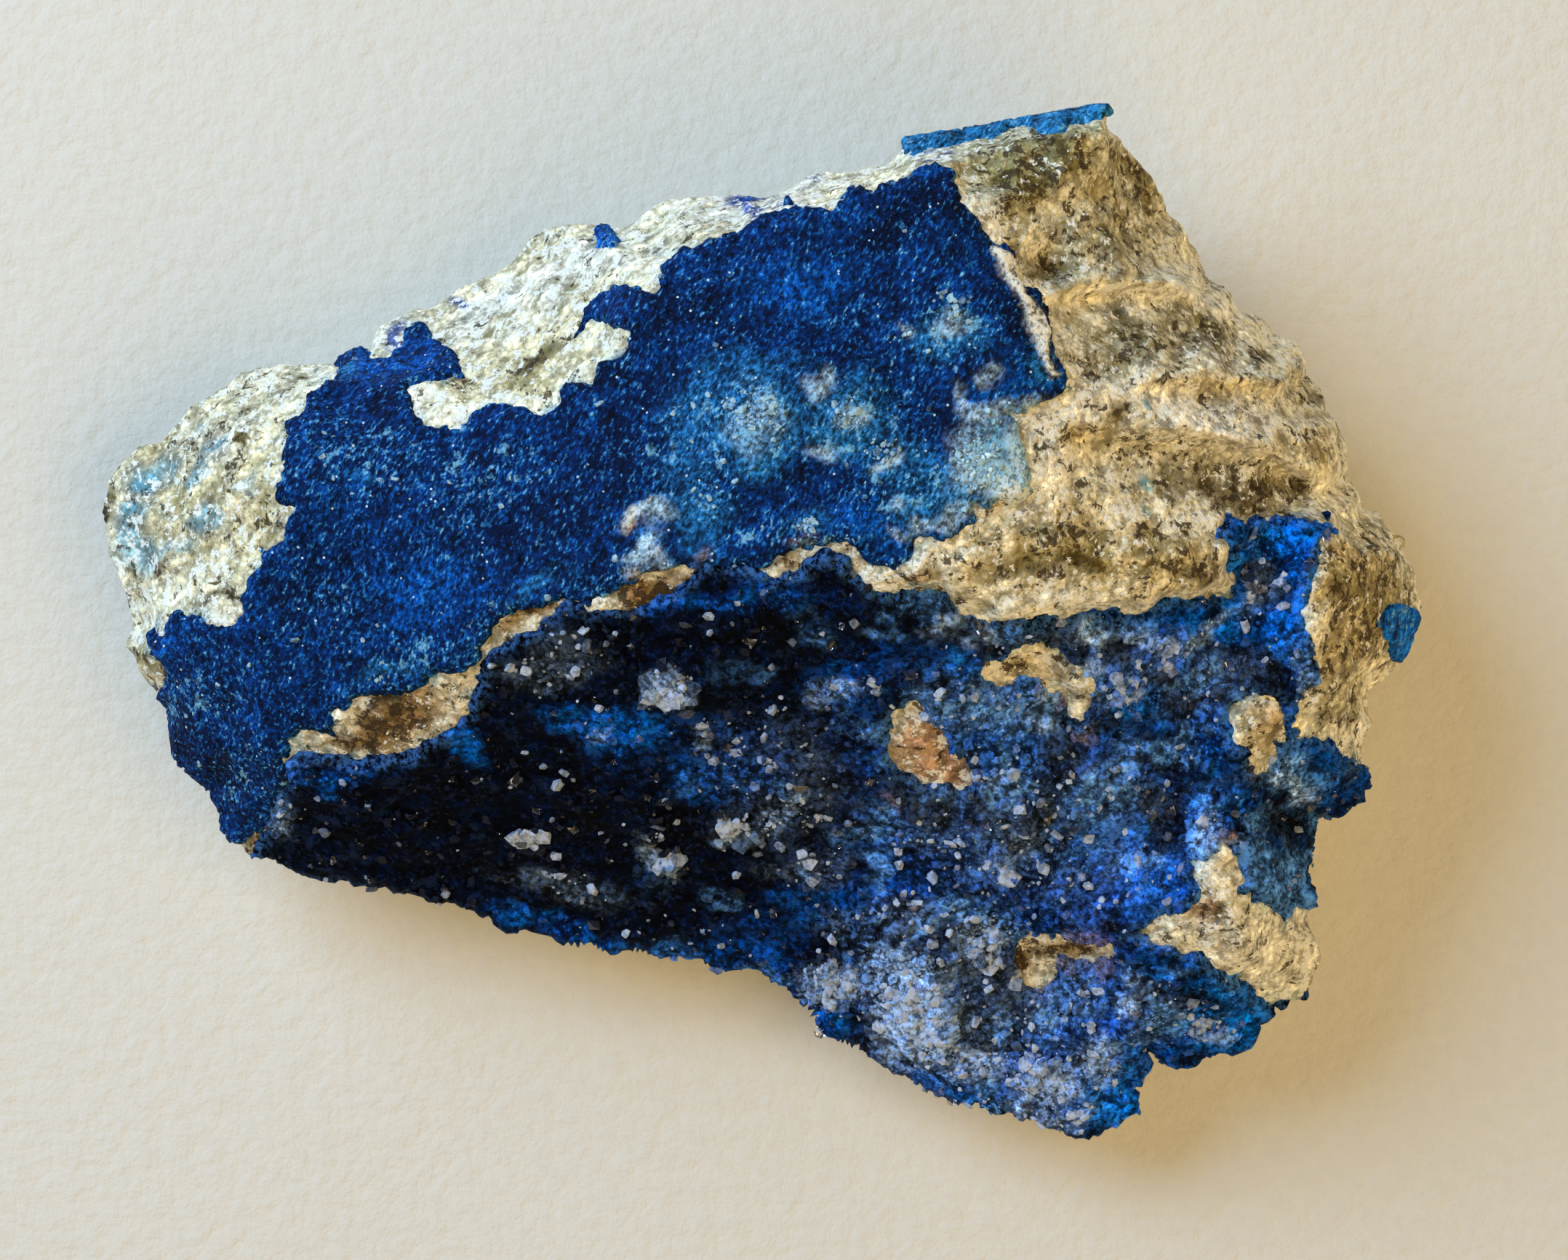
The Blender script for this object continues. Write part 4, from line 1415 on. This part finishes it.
class SPECIMEN_OT_lower_crust(bpy.types.Operator):
    """Build the dark, lumpy crust of the steep face"""

    bl_idname = "specimen.lower_crust"
    bl_label = "Lower kinoite crust"

    def execute(self, context):
        settings = context.scene.specimen_kinoite
        piece = crust(
            "kinoite_lower_druse", lower_depth, settings.lower_facet, settings.lower_rise,
            LOWER_RELIEF, druse_material(),
            lambda points: self.tint(points, settings),
        )
        placed(piece, "kinoite_blue", "kinoite_crust_lower")
        return {"FINISHED"}

    @staticmethod
    def tint(points, settings):
        """The painted crust, paler where the milky grains crowd."""
        tint = painted(points, settings.night, LOWER_BLOTCHES, settings, SEEDS["lower paint"])
        east = eased(*EAST, points[:, 0] - EAST_SLANT * points[:, 1])
        hollows = eased(*HOLLOW_EDGE, layered_noise(points, HOLLOW_SIZE, SEEDS["hollows"]))
        clouds = eased(*CLOUD_EDGE, layered_noise(points, CLOUD_SIZE, SEEDS["clouds"]))
        toward(tint, settings.night, HOLLOWED * east * hollows)
        toward(tint, settings.haze, CLOUDED * east * clouds)
        druse = covered(points, WHITE_DRUSE, SEEDS["milky grains"]) ** UNDER_POWER
        toward(tint, settings.frost, UNDER_DRUSE * druse)
        return tint


class SPECIMEN_OT_patches(bpy.types.Operator):
    """Build the small blue crusts on the rim and the flank"""

    bl_idname = "specimen.patches"
    bl_label = "Small kinoite patches"

    def execute(self, context):
        settings = context.scene.specimen_kinoite
        for node, shade in zip(PATCHES, PATCH_SHADES):
            piece = crust(
                node + "_felt", lambda points, normals: patch_depth(points, normals, node),
                settings.upper_facet, settings.patch_rise,
                PATCH_RELIEF, kinoite_material(),
                lambda points: painted(points, getattr(settings, shade), {}, settings, SEEDS["upper paint"]),
                lambda points: np.full(len(points), PATCH_FLECKS),
            )
            placed(piece, "kinoite_blue", node)
        return {"FINISHED"}


def crystal_shape(name, truncated):
    """A squarish crystal one unit across that stands on its seat, to be strewn and then removed."""
    shape = bmesh.new()
    bmesh.ops.create_cube(shape, size=1.0)
    if truncated:
        corners = list(shape.verts)
        bmesh.ops.bevel(shape, geom=corners, offset=0.5, affect="VERTICES", segments=1, profile=0.5)
        bmesh.ops.remove_doubles(shape, verts=shape.verts, dist=0.01)
        seed_set(SEEDS["block corners"])  # without it the noise starts from the clock
        for vert in shape.verts:
            vert.co += UNEVEN * noise_vector(vert.co * STIR)
    else:
        top = [face for face in shape.faces if face.normal.z > 0.5]
        bmesh.ops.poke(shape, faces=top, offset=TIP)
        upper = [vert for vert in shape.verts if vert.co.z > 0.4]
        bmesh.ops.scale(shape, vec=(TAPER, TAPER, 1), verts=upper)
    bmesh.ops.translate(shape, vec=(0, 0, SEAT), verts=shape.verts)
    mesh = bpy.data.meshes.new(name)
    shape.to_mesh(mesh)
    shape.free()
    made = bpy.data.objects.new(name, mesh)
    bpy.context.scene.collection.objects.link(made)
    return made


def strewn(name, ground, crowd, crystal, material, **inputs):
    """Crystals on a finished crust's front, as one piece."""
    mesh = ground.data
    count = len(mesh.vertices)

    def read(values, field, width):
        data = np.empty(count * width, np.float32)
        values.foreach_get(field, data)
        return data.reshape(count, width).astype(float)

    front = read(mesh.attributes["front"].data, "value", 1)[:, 0]
    faces = np.array([p.vertices[:] for p in mesh.polygons if front[p.vertices[0]] > GROWN])
    points, faces, used = kept_part(read(mesh.vertices, "co", 3), faces, slice(None))
    tint = read(mesh.attributes["tint"].data, "color", 4)[used]
    piece = mesh_object(name, points, faces, material, crowd=crowd(points), tint=tint)
    return run_tree(piece, scatter_tree(), material=material, crystal=crystal, **inputs)


class SPECIMEN_OT_druse(bpy.types.Operator):
    """Strew clear and milky apophyllite grains over the crusts"""

    bl_idname = "specimen.druse"
    bl_label = "Apophyllite grains"

    def execute(self, context):
        settings = context.scene.specimen_apophyllite
        ground = bpy.data.objects["kinoite_lower_druse"]
        felt = bpy.data.objects["kinoite_upper_felt"]
        block, pointed = crystal_shape("block", True), crystal_shape("pointed", False)
        placed(strewn(
            "apophyllite_clear_druse", ground, self.clear_crowd, pointed, clear_material(),
            smallest=settings.grain_smallest, largest=settings.grain_largest, seed=settings.seed,
            **CLEAR_GRAINS,
        ), "apophyllite_clear")
        placed(strewn(
            "apophyllite_milky_druse", ground, self.milky_crowd, block, milky_material(),
            seed=settings.seed + MILKY_SEED, largest=settings.milky_largest, **MILKY_GRAINS,
        ), "apophyllite_clear")
        placed(strewn(
            "apophyllite_sparkles", felt, self.sparkle_crowd, block, powder_material(),
            seed=settings.seed + SPARKLE_SEED, **SPARKLES,
        ), "apophyllite_clear")
        for crystal in (block, pointed):
            bpy.data.objects.remove(crystal)
        return {"FINISHED"}

    @staticmethod
    def clear_crowd(points):
        return CLEAR_MEAN + CLEAR_SPREAD * layered_noise(points, CLEAR_SIZE, SEEDS["clear grains"])

    @staticmethod
    def milky_crowd(points):
        share = covered(points, WHITE_DRUSE, SEEDS["milky grains"])
        return MILKY_LEAST + (1 - MILKY_LEAST) * share

    @staticmethod
    def sparkle_crowd(points):
        share = covered(points, FLECKED, SEEDS["flecks"]) ** SPARKLE_POWER
        return SPARKLE_LEAST + (1 - SPARKLE_LEAST) * share


class SPECIMEN_OT_groups(bpy.types.Operator):
    """Build each larger apophyllite group of many small crystals"""

    bl_idname = "specimen.groups"
    bl_label = "Apophyllite groups"

    def execute(self, context):
        settings = context.scene.specimen_apophyllite
        block = crystal_shape("block", True)
        nodes = sorted(name for name in frame["nodes"] if name.startswith("apophyllite"))
        for number, node in enumerate(nodes):
            felted = node.removeprefix("apophyllite_").startswith(FELTED)
            ground = bpy.data.objects["kinoite_upper_felt" if felted else "kinoite_lower_druse"]
            piece = strewn(
                node + "_grown", ground, lambda points: self.footprint(points, node), block,
                powder_material() if felted else milky_material(), seed=settings.seed + number,
                largest=FELTED_LARGEST if felted else GROUP_LARGEST, **GROUP_GRAINS,
            )
            placed(piece, "apophyllite_clear", node)
        bpy.data.objects.remove(block)
        return {"FINISHED"}

    @staticmethod
    def footprint(points, node):
        """GROUP_CROWD well within the oval that a group covers in plan, 0 outside it."""
        low, high = (np.array(corner[:2]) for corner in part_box(node))
        places = frayed(points, GROUP_FRAYS, SEEDS["groups"]) - (low + high) / 2
        return GROUP_CROWD * (1 - eased(*GROUP_EDGE, np.hypot(*(places / (high - low) * 2).T)))


class SPECIMEN_OT_stage(bpy.types.Operator):
    """Set out the paper, the window light, the warm lamp and the camera"""

    bl_idname = "specimen.stage"
    bl_label = "Stage"

    def execute(self, context):
        scene = context.scene
        settings = scene.specimen_stage
        scene.view_settings.view_transform = "Standard"
        bpy.ops.mesh.primitive_plane_add(size=FLOOR_SIZE)
        floor = context.object
        floor.name = "paper"
        floor.data.materials.append(paper_material())
        self.lamp("window_light", settings.key_colour, settings.key_power, **WINDOW_LIGHT)
        self.lamp("warm_lamp", settings.fill_colour, settings.fill_power, **WARM_LAMP)
        self.room(scene, settings)
        self.camera(scene, settings)
        return {"FINISHED"}

    @staticmethod
    def lamp(name, tint, power, azimuth, elevation, distance, size):
        """A square area light aimed at the specimen's middle."""
        light = bpy.data.lights.new(name, "AREA")
        light.color, light.energy, light.size = tint, power, size
        lamp = bpy.data.objects.new(name, light)
        turn, rise = math.radians(azimuth), math.radians(elevation)
        away = Vector((math.cos(turn) * math.cos(rise), math.sin(turn) * math.cos(rise), math.sin(rise)))
        lamp.location = away * distance
        lamp.rotation_mode = "QUATERNION"
        lamp.rotation_quaternion = away.to_track_quat("Z", "Y")
        bpy.context.scene.collection.objects.link(lamp)

    @staticmethod
    def room(scene, settings):
        world = bpy.data.worlds.new("room")
        world.use_nodes = True
        background = world.node_tree.nodes["Background"]
        background.inputs["Color"].default_value = rgba(settings.room_colour)
        background.inputs["Strength"].default_value = settings.room_strength
        scene.world = world

    @staticmethod
    def camera(scene, settings):
        """A camera straight above, as far off as it sees the specimen almost without perspective."""
        data = bpy.data.cameras.new("camera")
        data.sensor_width = SENSOR
        data.lens = SENSOR * CAMERA_DISTANCE / settings.view_width
        data.clip_end = CAMERA_REACH
        camera = bpy.data.objects.new("camera", data)
        x, y = plan([VIEW_CENTRE])[0]
        camera.location = (x, y, CAMERA_DISTANCE + FOCUS_HEIGHT)
        scene.collection.objects.link(camera)
        scene.camera = camera


OPERATORS = (
    SPECIMEN_OT_stage, SPECIMEN_OT_matrix, SPECIMEN_OT_upper_crust, SPECIMEN_OT_lower_crust,
    SPECIMEN_OT_patches, SPECIMEN_OT_groups, SPECIMEN_OT_druse,
)
SETTINGS = {
    "specimen_matrix": MatrixSettings,
    "specimen_kinoite": KinoiteSettings,
    "specimen_apophyllite": ApophylliteSettings,
    "specimen_stage": StageSettings,
}


class SPECIMEN_PT_panel(bpy.types.Panel):
    """Lists the specimen's pieces and their settings"""

    bl_idname = "SPECIMEN_PT_panel"
    bl_label = "Kinoite specimen"
    bl_space_type = "VIEW_3D"
    bl_region_type = "UI"
    bl_category = "Specimen"

    def draw(self, context):
        for operator in OPERATORS:
            self.layout.operator(operator.bl_idname)
        for name, group in SETTINGS.items():
            box = self.layout.box()
            box.label(text=group.__doc__)
            for key in group.__annotations__:
                box.prop(getattr(context.scene, name), key)


def register():
    for group in (*SETTINGS.values(), *OPERATORS, SPECIMEN_PT_panel):
        bpy.utils.register_class(group)
    for name, group in SETTINGS.items():
        setattr(bpy.types.Scene, name, PointerProperty(type=group))


def unregister():
    for name in SETTINGS:
        delattr(bpy.types.Scene, name)
    for group in (SPECIMEN_PT_panel, *reversed(OPERATORS), *reversed(SETTINGS.values())):
        bpy.utils.unregister_class(group)


def main():
    register()
    for operator in OPERATORS:
        group, name = operator.bl_idname.split(".")
        getattr(getattr(bpy.ops, group), name)()


if __name__ == "__main__":
    main()
